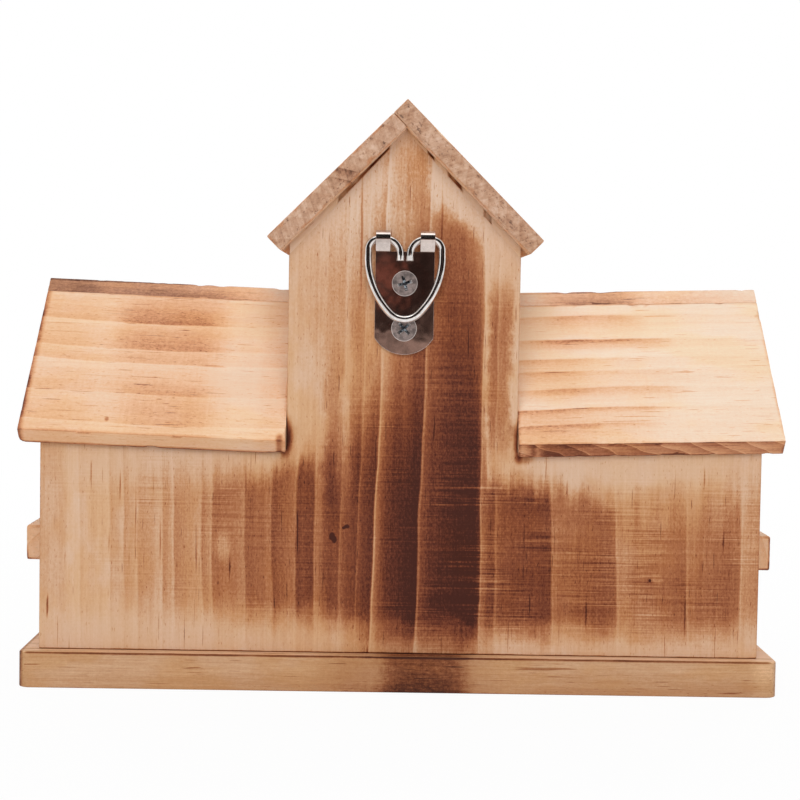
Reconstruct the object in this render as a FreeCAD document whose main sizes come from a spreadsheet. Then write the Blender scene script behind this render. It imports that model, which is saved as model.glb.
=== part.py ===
import FreeCAD, Part
import math
import os

import Sketcher
from FreeCAD import Placement, Rotation, Vector

# Hanging birdhouse: a gabled tower between two low wings, with a wire ring on its back to hang it by.
# Millimetres. +Z is up, the front faces -Y, and the origin is the middle of the base board's underside.
# Left and right are as seen from the front, so left is -X.

doc = FreeCAD.newDocument("Birdhouse")

# Driving dimensions
DIMENSIONS = {
    "base_length": 230,
    "base_depth": 90,
    "base_thickness": 11,
    "base_corner_radius": 3.5,
    "base_edge_radius": 0.8,
    "body_length": 219,
    "body_depth": 80,
    "board_thickness": 8,
    "wall_thickness": 6,
    "tower_width": 70,
    "roof_pitch": 45,
    "roof_thickness": 6,
    "roof_overhang": 6,
    "roof_clearance": 0.15,
    "tower_peak_height": 178.6,
    "tower_roof_slope": 58.8,
    "gable_apex_gap": 0.4,
    "gable_eave_gap": 2.8,
    "wing_ridge_height": 121.9,
    "wing_roof_length": 78.9,
    "wing_droop": 1.72,
    "wing_gap": 0.15,
    "loft_height": 88,
    "entrance_diameter": 25,
    "end_entrance_height": 61,
    "lower_entrance_height": 55,
    "upper_entrance_height": 122,
    "wing_entrance_offset": 72,
    "ledge_length": 28,
    "ledge_depth": 9,
    "ledge_height": 11,
    "ledge_drop": 21,
    "ledge_edge_radius": 0.8,
    "hanger_axis_height": 137,
    "plate_width": 17.8,
    "plate_thickness": 1,
    "plate_top_drop": 3.7,
    "plate_corner_drop": 29.8,
    "plate_bottom_drop": 34.8,
    "knuckle_width": 4.4,
    "knuckle_inner_radius": 1.6,
    "knuckle_wrap": 40,
    "knuckle_tail": 2.7,
    "wire_diameter": 2.3,
    "ring_half_width": 11.2,
    "ring_bend_radius": 3.3,
    "ring_widest_drop": 5.5,
    "ring_side_radius": 23.8,
    "ring_bottom_radius": 6,
    "cleft_half_width": 1.43,
    "cleft_bend_radius": 4.5,
    "cleft_drop": 6.5,
    "ring_rest_angle": 0.8,
    "upper_screw_drop": 13.3,
    "lower_screw_drop": 26.9,
    "screw_head_diameter": 7.7,
    "screw_head_rim": 0.25,
    "screw_head_proud": 0.6,
    "screw_shank_diameter": 3.5,
    "screw_length": 8,
    "screw_tip_length": 2,
    "countersink_depth": 0.8,
    "recess_arm_width": 0.95,
    "recess_span": 4.6,
    "recess_depth": 1.5,
    "upper_recess_turn": 16,
    "lower_recess_turn": 42,
    "brad_diameter": 1.4,
    "brad_length": 22,
    "brad_head_proud": 0.1,
    "base_brad_sink": 0.5,
    "base_brad_outer": 87.6,
    "base_brad_inner": 21.9,
    "brad_low_height": 24,
    "brad_high_height": 62,
    "brad_tower_height": 100,
}

# Lengths closer than this are the same, and sketches start at these rough sizes before they are constrained
TOLERANCE = 1e-6
SEED_REACH = 50
SEED_RADIUS = 5

sheet = doc.addObject("Spreadsheet::Sheet", "Dimensions")
for row, (alias, value) in enumerate(DIMENSIONS.items(), start=1):
    sheet.set(f"A{row}", alias)
    sheet.set(f"B{row}", str(value))
    sheet.setAlias(f"B{row}", alias)
doc.recompute()


def dim(alias):
    """Expression that reads one cell of the sheet."""
    return f"Dimensions.{alias}"


# Lengths worked out from the driving dimensions, as expressions
PITCH = f"({dim('roof_pitch')} * 1 deg)"
DROOP = f"({dim('wing_droop')} * 1 deg)"
BODY_HALF = f"({dim('body_length')} / 2)"
TOWER_HALF = f"({dim('tower_width')} / 2)"
BACK_FACE = f"({dim('body_depth')} / 2)"
INNER_DEPTH = f"({dim('body_depth')} - 2 * {dim('board_thickness')})"
END_WALL_INNER = f"({BODY_HALF} - {dim('wall_thickness')})"
TOWER_WALL_INNER = f"({TOWER_HALF} - {dim('wall_thickness')})"
ROOF_RISE = f"({dim('roof_thickness')} / cos({PITCH}))"
HINGE_DEPTH = f"({BACK_FACE} + {dim('plate_thickness')} + {dim('knuckle_inner_radius')})"


def wing_underside(across, depth):
    """Height of a wing roof's underside at a place across from the centre and a depth from the ridge."""
    run = f"({across} - {TOWER_HALF} - {dim('wing_gap')})"
    drop = f"({depth} * tan({PITCH}) + {ROOF_RISE})"
    ridge = f"{dim('wing_ridge_height')} - {dim('roof_clearance')}"
    return f"{ridge} + {run} * tan({DROOP}) - {drop} / cos({DROOP})"


def tower_underside(across):
    """Height of the tower roof's underside at a place across from the ridge."""
    return f"{dim('tower_peak_height')} - {ROOF_RISE} - {across} * tan({PITCH})"


# Helpers for bodies and sketches
pieces = []


def new_body(label):
    body = doc.addObject("PartDesign::Body", label)
    body.Label = label
    pieces.append(body)
    return body


def place(piece, across="0", depth="0", height="0"):
    """Binds where a piece stands."""
    for axis, expression in zip("xyz", (across, depth, height)):
        piece.setExpression(f"Placement.Base.{axis}", expression)


def turn(piece, axis, angle):
    """Binds how far a piece is turned about an axis through its own origin."""
    piece.Placement = Placement(Vector(), Rotation(axis, 1))
    piece.setExpression("Placement.Rotation.Angle", angle)


def new_sketch(body, name, role):
    """An empty sketch on one of the body's own origin planes."""
    plane = next(feature for feature in body.Origin.OriginFeatures if feature.Role == role)
    sketch = body.newObject("Sketcher::SketchObject", name)
    sketch.AttachmentSupport = [(plane, "")]
    sketch.MapMode = "FlatFace"
    return sketch


def constrain(sketch, expression, *constraint):
    """Adds a sized constraint and binds its size to an expression."""
    index = sketch.addConstraint(Sketcher.Constraint(*constraint))
    sketch.setExpression(f"Constraints[{index}]", expression)


def pin_point(sketch, geometry, vertex, seed, across, up):
    """Ties a sketch point to its distances from the sketch's origin."""
    constrain(sketch, across, "DistanceX", -1, 1, geometry, vertex, seed.x)
    constrain(sketch, up, "DistanceY", -1, 1, geometry, vertex, seed.y)


def add_polygon(sketch, corners):
    """A closed outline whose corners are pairs of expressions. It starts as a plain ring of points."""
    count = len(corners)
    seeds = []
    for index in range(count):
        angle = 2 * math.pi * index / count
        seeds.append(Vector(SEED_REACH * math.cos(angle), SEED_REACH * math.sin(angle), 0))
    sides = []
    for index in range(count):
        sides.append(sketch.addGeometry(Part.LineSegment(seeds[index], seeds[(index + 1) % count])))
    for index, (across, up) in enumerate(corners):
        sketch.addConstraint(Sketcher.Constraint("Coincident", sides[index - 1], 2, sides[index], 1))
        pin_point(sketch, sides[index], 1, seeds[index], across, up)


def add_circle(sketch, across, up, diameter):
    seed = Vector(SEED_REACH, SEED_REACH, 0)
    circle = sketch.addGeometry(Part.Circle(seed, Vector(0, 0, 1), SEED_RADIUS))
    pin_point(sketch, circle, 3, seed, across, up)
    constrain(sketch, diameter, "Diameter", circle, 2 * SEED_RADIUS)


def pad(body, name, sketch, length, backwards=False):
    feature = body.newObject("PartDesign::Pad", name)
    feature.Profile = sketch
    feature.setExpression("Length", length)
    feature.Reversed = backwards
    return feature


def edge_names(feature, wanted):
    """Names of a feature's edges that pass a test."""
    doc.recompute()
    return [f"Edge{index}" for index, edge in enumerate(feature.Shape.Edges, start=1) if wanted(edge)]


def round_edges(body, name, feature, wanted, radius):
    fillet = body.newObject("PartDesign::Fillet", name)
    fillet.Base = (feature, edge_names(feature, wanted))
    fillet.setExpression("Radius", radius)
    return fillet


def is_upright(edge):
    low, high = edge.Vertexes[0].Point, edge.Vertexes[-1].Point
    return abs(low.x - high.x) + abs(low.y - high.y) < TOLERANCE


def plain_board(label, length, depth, height):
    """A board with square edges, from its lowest corner."""
    board = doc.addObject("Part::Box", label)
    board.Label = label
    board.setExpression("Length", length)
    board.setExpression("Width", depth)
    board.setExpression("Height", height)
    pieces.append(board)
    return board


# Base board: rounded corners, eased upper edge
def make_base():
    body = new_body("base_board")
    sketch = new_sketch(body, "base_outline", "XY_Plane")
    half_length, half_depth = f"{dim('base_length')} / 2", f"{dim('base_depth')} / 2"
    add_polygon(sketch, [
        (f"-{half_length}", f"-{half_depth}"),
        (half_length, f"-{half_depth}"),
        (half_length, half_depth),
        (f"-{half_length}", half_depth),
    ])
    board = pad(body, "base_pad", sketch, dim("base_thickness"))
    corners = round_edges(body, "base_corners", board, is_upright, dim("base_corner_radius"))
    top = sheet.get("base_thickness")
    round_edges(body, "base_edge", corners, lambda edge: abs(edge.BoundBox.ZMin - top) < TOLERANCE,
                dim("base_edge_radius"))


# Front and back boards: wings and tower in one piece. The back one's gable stands off the roof.
def board_outline(sketch, apex_gap, eave_gap):
    outer_top = wing_underside(BODY_HALF, BACK_FACE)
    inner_top = wing_underside(TOWER_HALF, BACK_FACE)
    shoulder = f"{tower_underside(TOWER_HALF)} - {dim(eave_gap)}"
    apex = f"{tower_underside('0')} - {dim(apex_gap)}"
    add_polygon(sketch, [
        (f"-{BODY_HALF}", dim("base_thickness")),
        (BODY_HALF, dim("base_thickness")),
        (BODY_HALF, outer_top),
        (TOWER_HALF, inner_top),
        (TOWER_HALF, shoulder),
        ("0", apex),
        (f"-{TOWER_HALF}", shoulder),
        (f"-{TOWER_HALF}", inner_top),
        (f"-{BODY_HALF}", outer_top),
    ])


def make_back_board():
    body = new_body("back_board")
    sketch = new_sketch(body, "back_outline", "XZ_Plane")
    board_outline(sketch, "gable_apex_gap", "gable_eave_gap")
    pad(body, "back_pad", sketch, dim("board_thickness"))
    place(body, depth=BACK_FACE)


def make_front_board():
    body = new_body("front_board")
    sketch = new_sketch(body, "front_outline", "XZ_Plane")
    board_outline(sketch, "roof_clearance", "roof_clearance")
    wing = dim("wing_entrance_offset")
    for across in (f"-{wing}", "0", wing):
        add_circle(sketch, across, dim("lower_entrance_height"), dim("entrance_diameter"))
    add_circle(sketch, "0", dim("upper_entrance_height"), dim("entrance_diameter"))
    pad(body, "front_pad", sketch, dim("board_thickness"), backwards=True)
    place(body, depth=f"-{BACK_FACE}")


# End walls: gabled, between the front and back boards, each with a round entrance
def make_end_wall(label, across):
    body = new_body(label)
    sketch = new_sketch(body, f"{label}_outline", "YZ_Plane")
    half_depth = f"({INNER_DEPTH} / 2)"
    eave = wing_underside(END_WALL_INNER, half_depth)
    add_polygon(sketch, [
        (f"-{half_depth}", dim("base_thickness")),
        (half_depth, dim("base_thickness")),
        (half_depth, eave),
        ("0", wing_underside(END_WALL_INNER, "0")),
        (f"-{half_depth}", eave),
    ])
    add_circle(sketch, "0", dim("end_entrance_height"), dim("entrance_diameter"))
    pad(body, f"{label}_pad", sketch, dim("wall_thickness"))
    place(body, across=across)


# Tower walls and the loft floor between them
def make_tower_inside():
    height = f"{tower_underside(TOWER_HALF)} - {dim('roof_clearance')} - {dim('base_thickness')}"
    for label, across in (("left_tower_wall", f"-{TOWER_HALF}"), ("right_tower_wall", TOWER_WALL_INNER)):
        wall = plain_board(label, dim("wall_thickness"), INNER_DEPTH, height)
        place(wall, across, f"-{INNER_DEPTH} / 2", dim("base_thickness"))
    floor = plain_board("loft_floor", f"2 * {TOWER_WALL_INNER}", INNER_DEPTH, dim("wall_thickness"))
    place(floor, f"-{TOWER_WALL_INNER}", f"-{INNER_DEPTH} / 2", dim("loft_height"))


# Roof panels: two boards at a right angle, the lapping one covering the other's upper end
def panel_section(sketch, side, lapping, slope, apex):
    """Section of one panel on the given side of the ridge, as a slanted rectangle."""
    thickness = dim("roof_thickness")
    start = "0" if lapping else thickness
    corners = []
    for along, inward in ((start, "0"), (slope, "0"), (slope, thickness), (start, thickness)):
        across = f"{side} * ({along} * cos({PITCH}) - {inward} * sin({PITCH}))"
        up = f"{apex} - {along} * sin({PITCH}) - {inward} * cos({PITCH})"
        corners.append((across, up))
    add_polygon(sketch, corners)


def make_tower_roof():
    length = f"({dim('body_depth')} + 2 * {dim('roof_overhang')})"
    for label, side, lapping in (("tower_roof_left", -1, True), ("tower_roof_right", 1, False)):
        body = new_body(label)
        sketch = new_sketch(body, f"{label}_section", "XZ_Plane")
        panel_section(sketch, side, lapping, dim("tower_roof_slope"), dim("tower_peak_height"))
        pad(body, f"{label}_pad", sketch, length)
        place(body, depth=f"{length} / 2")


def make_wing_roofs():
    """Each wing roof falls a little towards the tower. Its own origin is the ridge's end at the tower."""
    slope = f"({BACK_FACE} + {dim('roof_overhang')}) / cos({PITCH})"
    for wing, sign in (("left", -1), ("right", 1)):
        for face, side, lapping in (("back", 1, False), ("front", -1, True)):
            label = f"{wing}_wing_roof_{face}"
            body = new_body(label)
            sketch = new_sketch(body, f"{label}_section", "YZ_Plane")
            panel_section(sketch, side, lapping, slope, "0")
            pad(body, f"{label}_pad", sketch, dim("wing_roof_length"), backwards=sign < 0)
            turn(body, Vector(0, 1, 0), f"{-sign} * {DROOP}")
            place(body, f"{sign} * ({TOWER_HALF} + {dim('wing_gap')})", "0", dim("wing_ridge_height"))


# Ledges: one block under each entrance, its back against the wall at its own origin
def make_ledge(label, angle, across, depth, entrance_height):
    body = new_body(label)
    sketch = new_sketch(body, f"{label}_outline", "XZ_Plane")
    half_length, half_height = f"{dim('ledge_length')} / 2", f"{dim('ledge_height')} / 2"
    add_polygon(sketch, [
        (f"-{half_length}", f"-{half_height}"),
        (half_length, f"-{half_height}"),
        (half_length, half_height),
        (f"-{half_length}", half_height),
    ])
    block = pad(body, f"{label}_pad", sketch, dim("ledge_depth"))
    round_edges(body, f"{label}_edges", block, lambda edge: edge.BoundBox.YMin < -TOLERANCE,
                dim("ledge_edge_radius"))
    body.Placement = Placement(Vector(), Rotation(Vector(0, 0, 1), angle))
    place(body, across, depth, f"{entrance_height} - {dim('ledge_drop')}")


def make_ledges():
    front, wing = f"-{BACK_FACE}", dim("wing_entrance_offset")
    lower, upper, end = dim("lower_entrance_height"), dim("upper_entrance_height"), dim("end_entrance_height")
    make_ledge("left_end_ledge", -90, f"-{BODY_HALF}", "0", end)
    make_ledge("right_end_ledge", 90, BODY_HALF, "0", end)
    make_ledge("left_front_ledge", 0, f"-{wing}", front, lower)
    make_ledge("right_front_ledge", 0, wing, front, lower)
    make_ledge("tower_lower_ledge", 0, "0", front, lower)
    make_ledge("tower_upper_ledge", 0, "0", front, upper)


# Hanger plate: a round-ended plate with two rolled knuckles and two countersunk holes.
# Its own origin is on the board's face, at the height of the ring's axis.
def plate_outline(sketch):
    half = sheet.get("plate_width") / 2
    top, corner, bottom = (-sheet.get(f"plate_{name}_drop") for name in ("top", "corner", "bottom"))
    points = [Vector(-half, corner, 0), Vector(-half, top, 0), Vector(half, top, 0), Vector(half, corner, 0)]
    sides = [sketch.addGeometry(Part.LineSegment(a, b)) for a, b in zip(points, points[1:])]
    end_rise = corner - bottom
    end_radius = (half ** 2 + end_rise ** 2) / (2 * end_rise)
    end_circle = Part.Circle(Vector(0, bottom + end_radius, 0), Vector(0, 0, 1), end_radius)
    spread = math.asin(half / end_radius)
    end = sketch.addGeometry(Part.ArcOfCircle(end_circle, -math.pi / 2 - spread, -math.pi / 2 + spread))
    sketch.addConstraint(Sketcher.Constraint("Coincident", sides[0], 2, sides[1], 1))
    sketch.addConstraint(Sketcher.Constraint("Coincident", sides[1], 2, sides[2], 1))
    sketch.addConstraint(Sketcher.Constraint("Coincident", end, 1, sides[0], 1))
    sketch.addConstraint(Sketcher.Constraint("Coincident", end, 2, sides[2], 2))
    half_width = f"{dim('plate_width')} / 2"
    pin_point(sketch, sides[0], 1, points[0], f"-{half_width}", f"-{dim('plate_corner_drop')}")
    pin_point(sketch, sides[1], 1, points[1], f"-{half_width}", f"-{dim('plate_top_drop')}")
    pin_point(sketch, sides[1], 2, points[2], half_width, f"-{dim('plate_top_drop')}")
    pin_point(sketch, sides[2], 2, points[3], half_width, f"-{dim('plate_corner_drop')}")
    rise = f"({dim('plate_bottom_drop')} - {dim('plate_corner_drop')})"
    constrain(sketch, f"(({half_width})^2 + {rise}^2) / (2 * {rise})", "Radius", end, end_radius)


def knuckle_section(sketch):
    """The strip's path: up the board, round the wire, and back down towards the plate."""
    thickness, inner = sheet.get("plate_thickness"), sheet.get("knuckle_inner_radius")
    wrap, tail = math.radians(sheet.get("knuckle_wrap")), sheet.get("knuckle_tail")
    centre = Vector(thickness + inner, 0, 0)
    foot = -sheet.get("plate_top_drop")
    tail_way = Vector(-math.sin(wrap), -math.cos(wrap), 0)
    rim = Vector(math.cos(wrap), -math.sin(wrap), 0)
    arcs, uprights, tails = [], [], []
    for radius in (inner + thickness, inner):
        circle = Part.Circle(centre, Vector(0, 0, 1), radius)
        arcs.append(sketch.addGeometry(Part.ArcOfCircle(circle, -wrap, math.pi)))
        back = Vector(centre.x - radius, 0, 0)
        uprights.append(sketch.addGeometry(Part.LineSegment(back, Vector(back.x, foot, 0))))
        turned = centre + rim * radius
        tails.append(sketch.addGeometry(Part.LineSegment(turned, turned + tail_way * tail)))
    foot_line = sketch.addGeometry(Part.LineSegment(Vector(0, foot, 0), Vector(thickness, foot, 0)))
    tip_line = sketch.addGeometry(Part.LineSegment(
        sketch.Geometry[tails[0]].EndPoint, sketch.Geometry[tails[1]].EndPoint))
    for arc, upright, tail_line in zip(arcs, uprights, tails):
        sketch.addConstraint(Sketcher.Constraint("Tangent", arc, 2, upright, 1))
        sketch.addConstraint(Sketcher.Constraint("Tangent", arc, 1, tail_line, 1))
    sketch.addConstraint(Sketcher.Constraint("Coincident", arcs[0], 3, arcs[1], 3))
    for vertex, upright, tail_line in ((1, uprights[0], tails[0]), (2, uprights[1], tails[1])):
        sketch.addConstraint(Sketcher.Constraint("Coincident", foot_line, vertex, upright, 2))
        sketch.addConstraint(Sketcher.Constraint("Coincident", tip_line, vertex, tail_line, 2))
    sketch.addConstraint(Sketcher.Constraint("Perpendicular", tip_line, tails[0]))
    sketch.addConstraint(Sketcher.Constraint("Parallel", tails[0], tails[1]))
    sketch.addConstraint(Sketcher.Constraint("Horizontal", foot_line))
    sketch.addConstraint(Sketcher.Constraint("Vertical", uprights[0]))
    sketch.addConstraint(Sketcher.Constraint("Vertical", uprights[1]))
    pin_point(sketch, arcs[0], 3, centre, f"{dim('plate_thickness')} + {dim('knuckle_inner_radius')}", "0")
    constrain(sketch, dim("knuckle_inner_radius"), "Radius", arcs[1], inner)
    constrain(sketch, f"{dim('knuckle_inner_radius')} + {dim('plate_thickness')}", "Radius", arcs[0],
              inner + thickness)
    constrain(sketch, f"-{dim('plate_top_drop')}", "DistanceY", -1, 1, foot_line, 1, foot)
    constrain(sketch, f"{dim('knuckle_wrap')} * 1 deg", "Angle", tails[0], 2, uprights[0], 2, wrap)
    constrain(sketch, dim("knuckle_tail"), "Distance", tails[0], tail)


def make_hanger_plate():
    body = new_body("hanger_plate")
    outline = new_sketch(body, "plate_outline", "XZ_Plane")
    plate_outline(outline)
    pad(body, "plate_pad", outline, dim("plate_thickness"), backwards=True)
    section = new_sketch(body, "knuckle_section", "YZ_Plane")
    knuckle_section(section)
    section.setExpression("AttachmentOffset.Base.z", f"{dim('plate_width')} / 2 - {dim('knuckle_width')}")
    knuckle = pad(body, "right_knuckle", section, dim("knuckle_width"))
    mirrored = body.newObject("PartDesign::Mirrored", "left_knuckle")
    mirrored.Originals = [knuckle]
    mirrored.MirrorPlane = (section.AttachmentSupport[0][0], [""])
    body.Tip = mirrored
    doc.recompute()
    holes = new_sketch(body, "screw_holes", "XZ_Plane")
    slope_at_face = f"{dim('screw_head_proud')} - {dim('screw_head_rim')}"
    diameter = f"{dim('screw_head_diameter')} - 2 * ({slope_at_face} + {dim('countersink_depth')})"
    for drop in ("upper_screw_drop", "lower_screw_drop"):
        add_circle(holes, "0", f"-{dim(drop)}", diameter)
    pocket = body.newObject("PartDesign::Pocket", "screw_hole_pocket")
    pocket.Profile = holes
    pocket.Type = "ThroughAll"
    pocket.Midplane = True
    body.Tip = pocket
    thickness = sheet.get("plate_thickness")

    def is_hole_rim(edge):
        is_round = isinstance(edge.Curve, Part.Circle) and edge.isClosed()
        return is_round and abs(edge.BoundBox.YMin - thickness) < TOLERANCE

    countersink = body.newObject("PartDesign::Chamfer", "countersinks")
    countersink.Base = (pocket, edge_names(pocket, is_hole_rim))
    countersink.setExpression("Size", dim("countersink_depth"))
    body.Tip = countersink
    place(body, depth=BACK_FACE, height=dim("hanger_axis_height"))


# Hanger ring: one wire bent to a heart, straight where it turns in the knuckles.
# Its own origin is on the hinge axis, and it hangs down from there.
def half_ring_path(sketch):
    """Right half of the wire's centre line, from the middle of the bottom round to the free end."""
    half, bend, side = (sheet.get(f"ring_{name}") for name in ("half_width", "bend_radius", "side_radius"))
    widest, bottom = sheet.get("ring_widest_drop"), sheet.get("ring_bottom_radius")
    cleft, cleft_bend = sheet.get("cleft_half_width"), sheet.get("cleft_bend_radius")
    free_end = sheet.get("cleft_drop")
    side_centre = Vector(half - side, -widest, 0)
    bottom_centre = Vector(0, -widest - math.sqrt((side - bottom) ** 2 - side_centre.x ** 2), 0)
    join = math.atan2(bottom_centre.y - side_centre.y, bottom_centre.x - side_centre.x)
    up = Vector(0, 0, 1)

    def arc(centre, radius, start, end):
        return sketch.addGeometry(Part.ArcOfCircle(Part.Circle(centre, up, radius), start, end))

    def line(x0, y0, x1, y1):
        return sketch.addGeometry(Part.LineSegment(Vector(x0, y0, 0), Vector(x1, y1, 0)))

    bottom_arc = arc(bottom_centre, bottom, -math.pi / 2, join)
    side_arc = arc(side_centre, side, join, 0)
    limb = line(half, -widest, half, -bend)
    shoulder_arc = arc(Vector(half - bend, -bend, 0), bend, 0, math.pi / 2)
    axle = line(half - bend, 0, cleft + cleft_bend, 0)
    cleft_arc = arc(Vector(cleft + cleft_bend, -cleft_bend, 0), cleft_bend, math.pi / 2, math.pi)
    tail = line(cleft, -cleft_bend, cleft, -free_end)
    chain = [(bottom_arc, 2, side_arc, 1), (side_arc, 2, limb, 1), (limb, 2, shoulder_arc, 1),
             (shoulder_arc, 2, axle, 1), (axle, 2, cleft_arc, 1), (cleft_arc, 2, tail, 1)]
    for joint in chain:
        sketch.addConstraint(Sketcher.Constraint("Tangent", *joint))
    sketch.addConstraint(Sketcher.Constraint("PointOnObject", bottom_arc, 3, -2))
    sketch.addConstraint(Sketcher.Constraint("PointOnObject", bottom_arc, 1, -2))
    sketch.addConstraint(Sketcher.Constraint("PointOnObject", axle, 1, -1))
    sketch.addConstraint(Sketcher.Constraint("Horizontal", axle))
    sketch.addConstraint(Sketcher.Constraint("Vertical", limb))
    sketch.addConstraint(Sketcher.Constraint("Vertical", tail))
    radii = ((bottom_arc, "ring_bottom_radius"), (side_arc, "ring_side_radius"),
             (shoulder_arc, "ring_bend_radius"), (cleft_arc, "cleft_bend_radius"))
    for geometry, alias in radii:
        constrain(sketch, dim(alias), "Radius", geometry, sheet.get(alias))
    constrain(sketch, dim("ring_half_width"), "DistanceX", -1, 1, limb, 1, half)
    constrain(sketch, f"-{dim('ring_widest_drop')}", "DistanceY", -1, 1, limb, 1, -widest)
    constrain(sketch, dim("cleft_half_width"), "DistanceX", -1, 1, tail, 2, cleft)
    constrain(sketch, f"-{dim('cleft_drop')}", "DistanceY", -1, 1, tail, 2, -free_end)


def make_hanger_ring():
    body = new_body("hanger_ring")
    path = new_sketch(body, "ring_path", "XZ_Plane")
    half_ring_path(path)
    section = new_sketch(body, "wire_section", "YZ_Plane")
    side = f"({dim('ring_side_radius')} - {dim('ring_bottom_radius')})"
    centre_drop = f"sqrt({side}^2 - ({dim('ring_side_radius')} - {dim('ring_half_width')})^2)"
    add_circle(section, "0", f"-{dim('ring_widest_drop')} - {centre_drop} - {dim('ring_bottom_radius')}",
               dim("wire_diameter"))
    doc.recompute()
    half = body.newObject("PartDesign::AdditivePipe", "right_half")
    half.Profile = section
    half.Spine = (path, [])
    mirrored = body.newObject("PartDesign::Mirrored", "left_half")
    mirrored.Originals = [half]
    mirrored.MirrorPlane = (section.AttachmentSupport[0][0], [""])
    body.Tip = mirrored
    turn(body, Vector(1, 0, 0), f"{dim('ring_rest_angle')} * 1 deg")
    place(body, "0", HINGE_DEPTH, dim("hanger_axis_height"))


# Hanger screws: flat countersunk heads with a cross recess. The origin is the middle of the head's face.
def make_hanger_screw(label, drop, recess_turn):
    body = new_body(label)
    profile = new_sketch(body, f"{label}_profile", "XZ_Plane")
    head, shank = f"{dim('screw_head_diameter')} / 2", f"{dim('screw_shank_diameter')} / 2"
    neck = f"{dim('screw_head_rim')} + {head} - {shank}"
    add_polygon(profile, [
        ("0", "0"),
        ("0", f"-{dim('screw_length')}"),
        (shank, f"-({dim('screw_length')} - {dim('screw_tip_length')})"),
        (shank, f"-({neck})"),
        (head, f"-{dim('screw_head_rim')}"),
        (head, "0"),
    ])
    turned = body.newObject("PartDesign::Revolution", f"{label}_turned")
    turned.Profile = profile
    turned.ReferenceAxis = (profile, ["V_Axis"])
    turned.Angle = 360
    recess = new_sketch(body, f"{label}_recess", "XY_Plane")
    arm, span = f"{dim('recess_arm_width')} / 2", f"{dim('recess_span')} / 2"
    quarter = [(span, f"-({arm})"), (span, arm), (arm, arm)]
    cross = list(quarter)
    for _ in range(3):
        quarter = [(f"-({up})", across) for across, up in quarter]
        cross += quarter
    add_polygon(recess, cross)
    recess.AttachmentOffset = Placement(Vector(), Rotation(Vector(0, 0, 1), 1))
    recess.setExpression("AttachmentOffset.Rotation.Angle", f"{recess_turn} * 1 deg")
    pocket = body.newObject("PartDesign::Pocket", f"{label}_cross")
    pocket.Profile = recess
    pocket.setExpression("Length", dim("recess_depth"))
    doc.recompute()
    if pocket.Shape.Volume >= turned.Shape.Volume:
        raise ValueError(f"{label}: the cross recess cuts nothing")
    body.Placement = Placement(Vector(), Rotation(Vector(1, 0, 0), -90))
    face = f"{BACK_FACE} + {dim('plate_thickness')} + {dim('screw_head_proud')}"
    place(body, "0", face, f"{dim('hanger_axis_height')} - {drop}")


# Brads: headless pins, a group for each board that they hold
def make_brads(label, direction, spots):
    """Pins that point along a direction, each from its own spot on the board's outer face."""
    brads = []
    for index, (across, depth, height) in enumerate(spots):
        brad = doc.addObject("Part::Cylinder", f"{label}_{index}")
        brad.setExpression("Radius", f"{dim('brad_diameter')} / 2")
        brad.setExpression("Height", dim("brad_length"))
        brad.Placement = Placement(Vector(), Rotation(Vector(0, 0, 1), direction))
        place(brad, across, depth, height)
        brads.append(brad)
    group = doc.addObject("Part::Compound", label)
    group.Label = label
    group.Links = brads
    pieces.append(group)


def make_all_brads():
    end_centre = f"({BODY_HALF} - {dim('wall_thickness')} / 2)"
    tower_centre = f"({TOWER_HALF} - {dim('wall_thickness')} / 2)"
    low, high, tower = (dim(f"brad_{name}_height") for name in ("low", "high", "tower"))
    board_spots = []
    for sign in ("-", ""):
        board_spots += [(f"{sign}{end_centre}", low), (f"{sign}{end_centre}", high)]
        board_spots += [(f"{sign}{tower_centre}", height) for height in (low, high, tower)]
    face = f"({BACK_FACE} + {dim('brad_head_proud')})"
    make_brads("back_board_brads", Vector(0, -1, 0), [(across, face, up) for across, up in board_spots])
    make_brads("front_board_brads", Vector(0, 1, 0), [(across, f"-{face}", up) for across, up in board_spots])
    row = f"({BACK_FACE} - {dim('board_thickness')} / 2)"
    outer, inner = dim("base_brad_outer"), dim("base_brad_inner")
    base_spots = []
    for sign in ("-", ""):
        for across in (f"-{outer}", f"-{inner}", inner, outer):
            base_spots.append((across, f"{sign}{row}", dim("base_brad_sink")))
    make_brads("base_brads", Vector(0, 0, 1), base_spots)


make_base()
make_back_board()
make_front_board()
make_end_wall("left_end_wall", f"-{BODY_HALF}")
make_end_wall("right_end_wall", END_WALL_INNER)
make_tower_inside()
make_tower_roof()
make_wing_roofs()
make_ledges()
make_hanger_plate()
make_hanger_ring()
make_hanger_screw("upper_hanger_screw", dim("upper_screw_drop"), dim("upper_recess_turn"))
make_hanger_screw("lower_hanger_screw", dim("lower_screw_drop"), dim("lower_recess_turn"))
make_all_brads()
doc.recompute()

# Every object must have been worked out before anything is written
for item in doc.Objects:
    if "Invalid" in item.State or "Error" in item.State:
        raise ValueError(f"{item.Label} failed: {item.State}")
for piece in pieces:
    if piece.Shape.isNull() or not piece.Shape.isValid():
        raise ValueError(f"{piece.Label} has no valid shape")

os.makedirs("parts", exist_ok=True)
for piece in pieces:
    piece.Shape.exportStep(f"parts/{piece.Label}.step")
    box = piece.Shape.BoundBox
    size = f"{box.XLength:.1f} x {box.YLength:.1f} x {box.ZLength:.1f}"
    print(f"{piece.Label}: {len(piece.Shape.Solids)} solids, {piece.Shape.Volume:.0f} mm3, {size}")
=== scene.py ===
# %% [markdown]
# A hanging birdhouse in scorched pine
# The real one is a small garden ornament: a tower between two low wings, nailed up from thin pine boards,
# browned by a torch, with a wire ring on its back. Its solids come ready from the frame. This lesson gives
# them worn corners, burnt wood, plated metal, a studio and a camera.

# %% Load the solids
import math

import bmesh
import bpy
from mathutils import Matrix, Vector, noise


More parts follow.
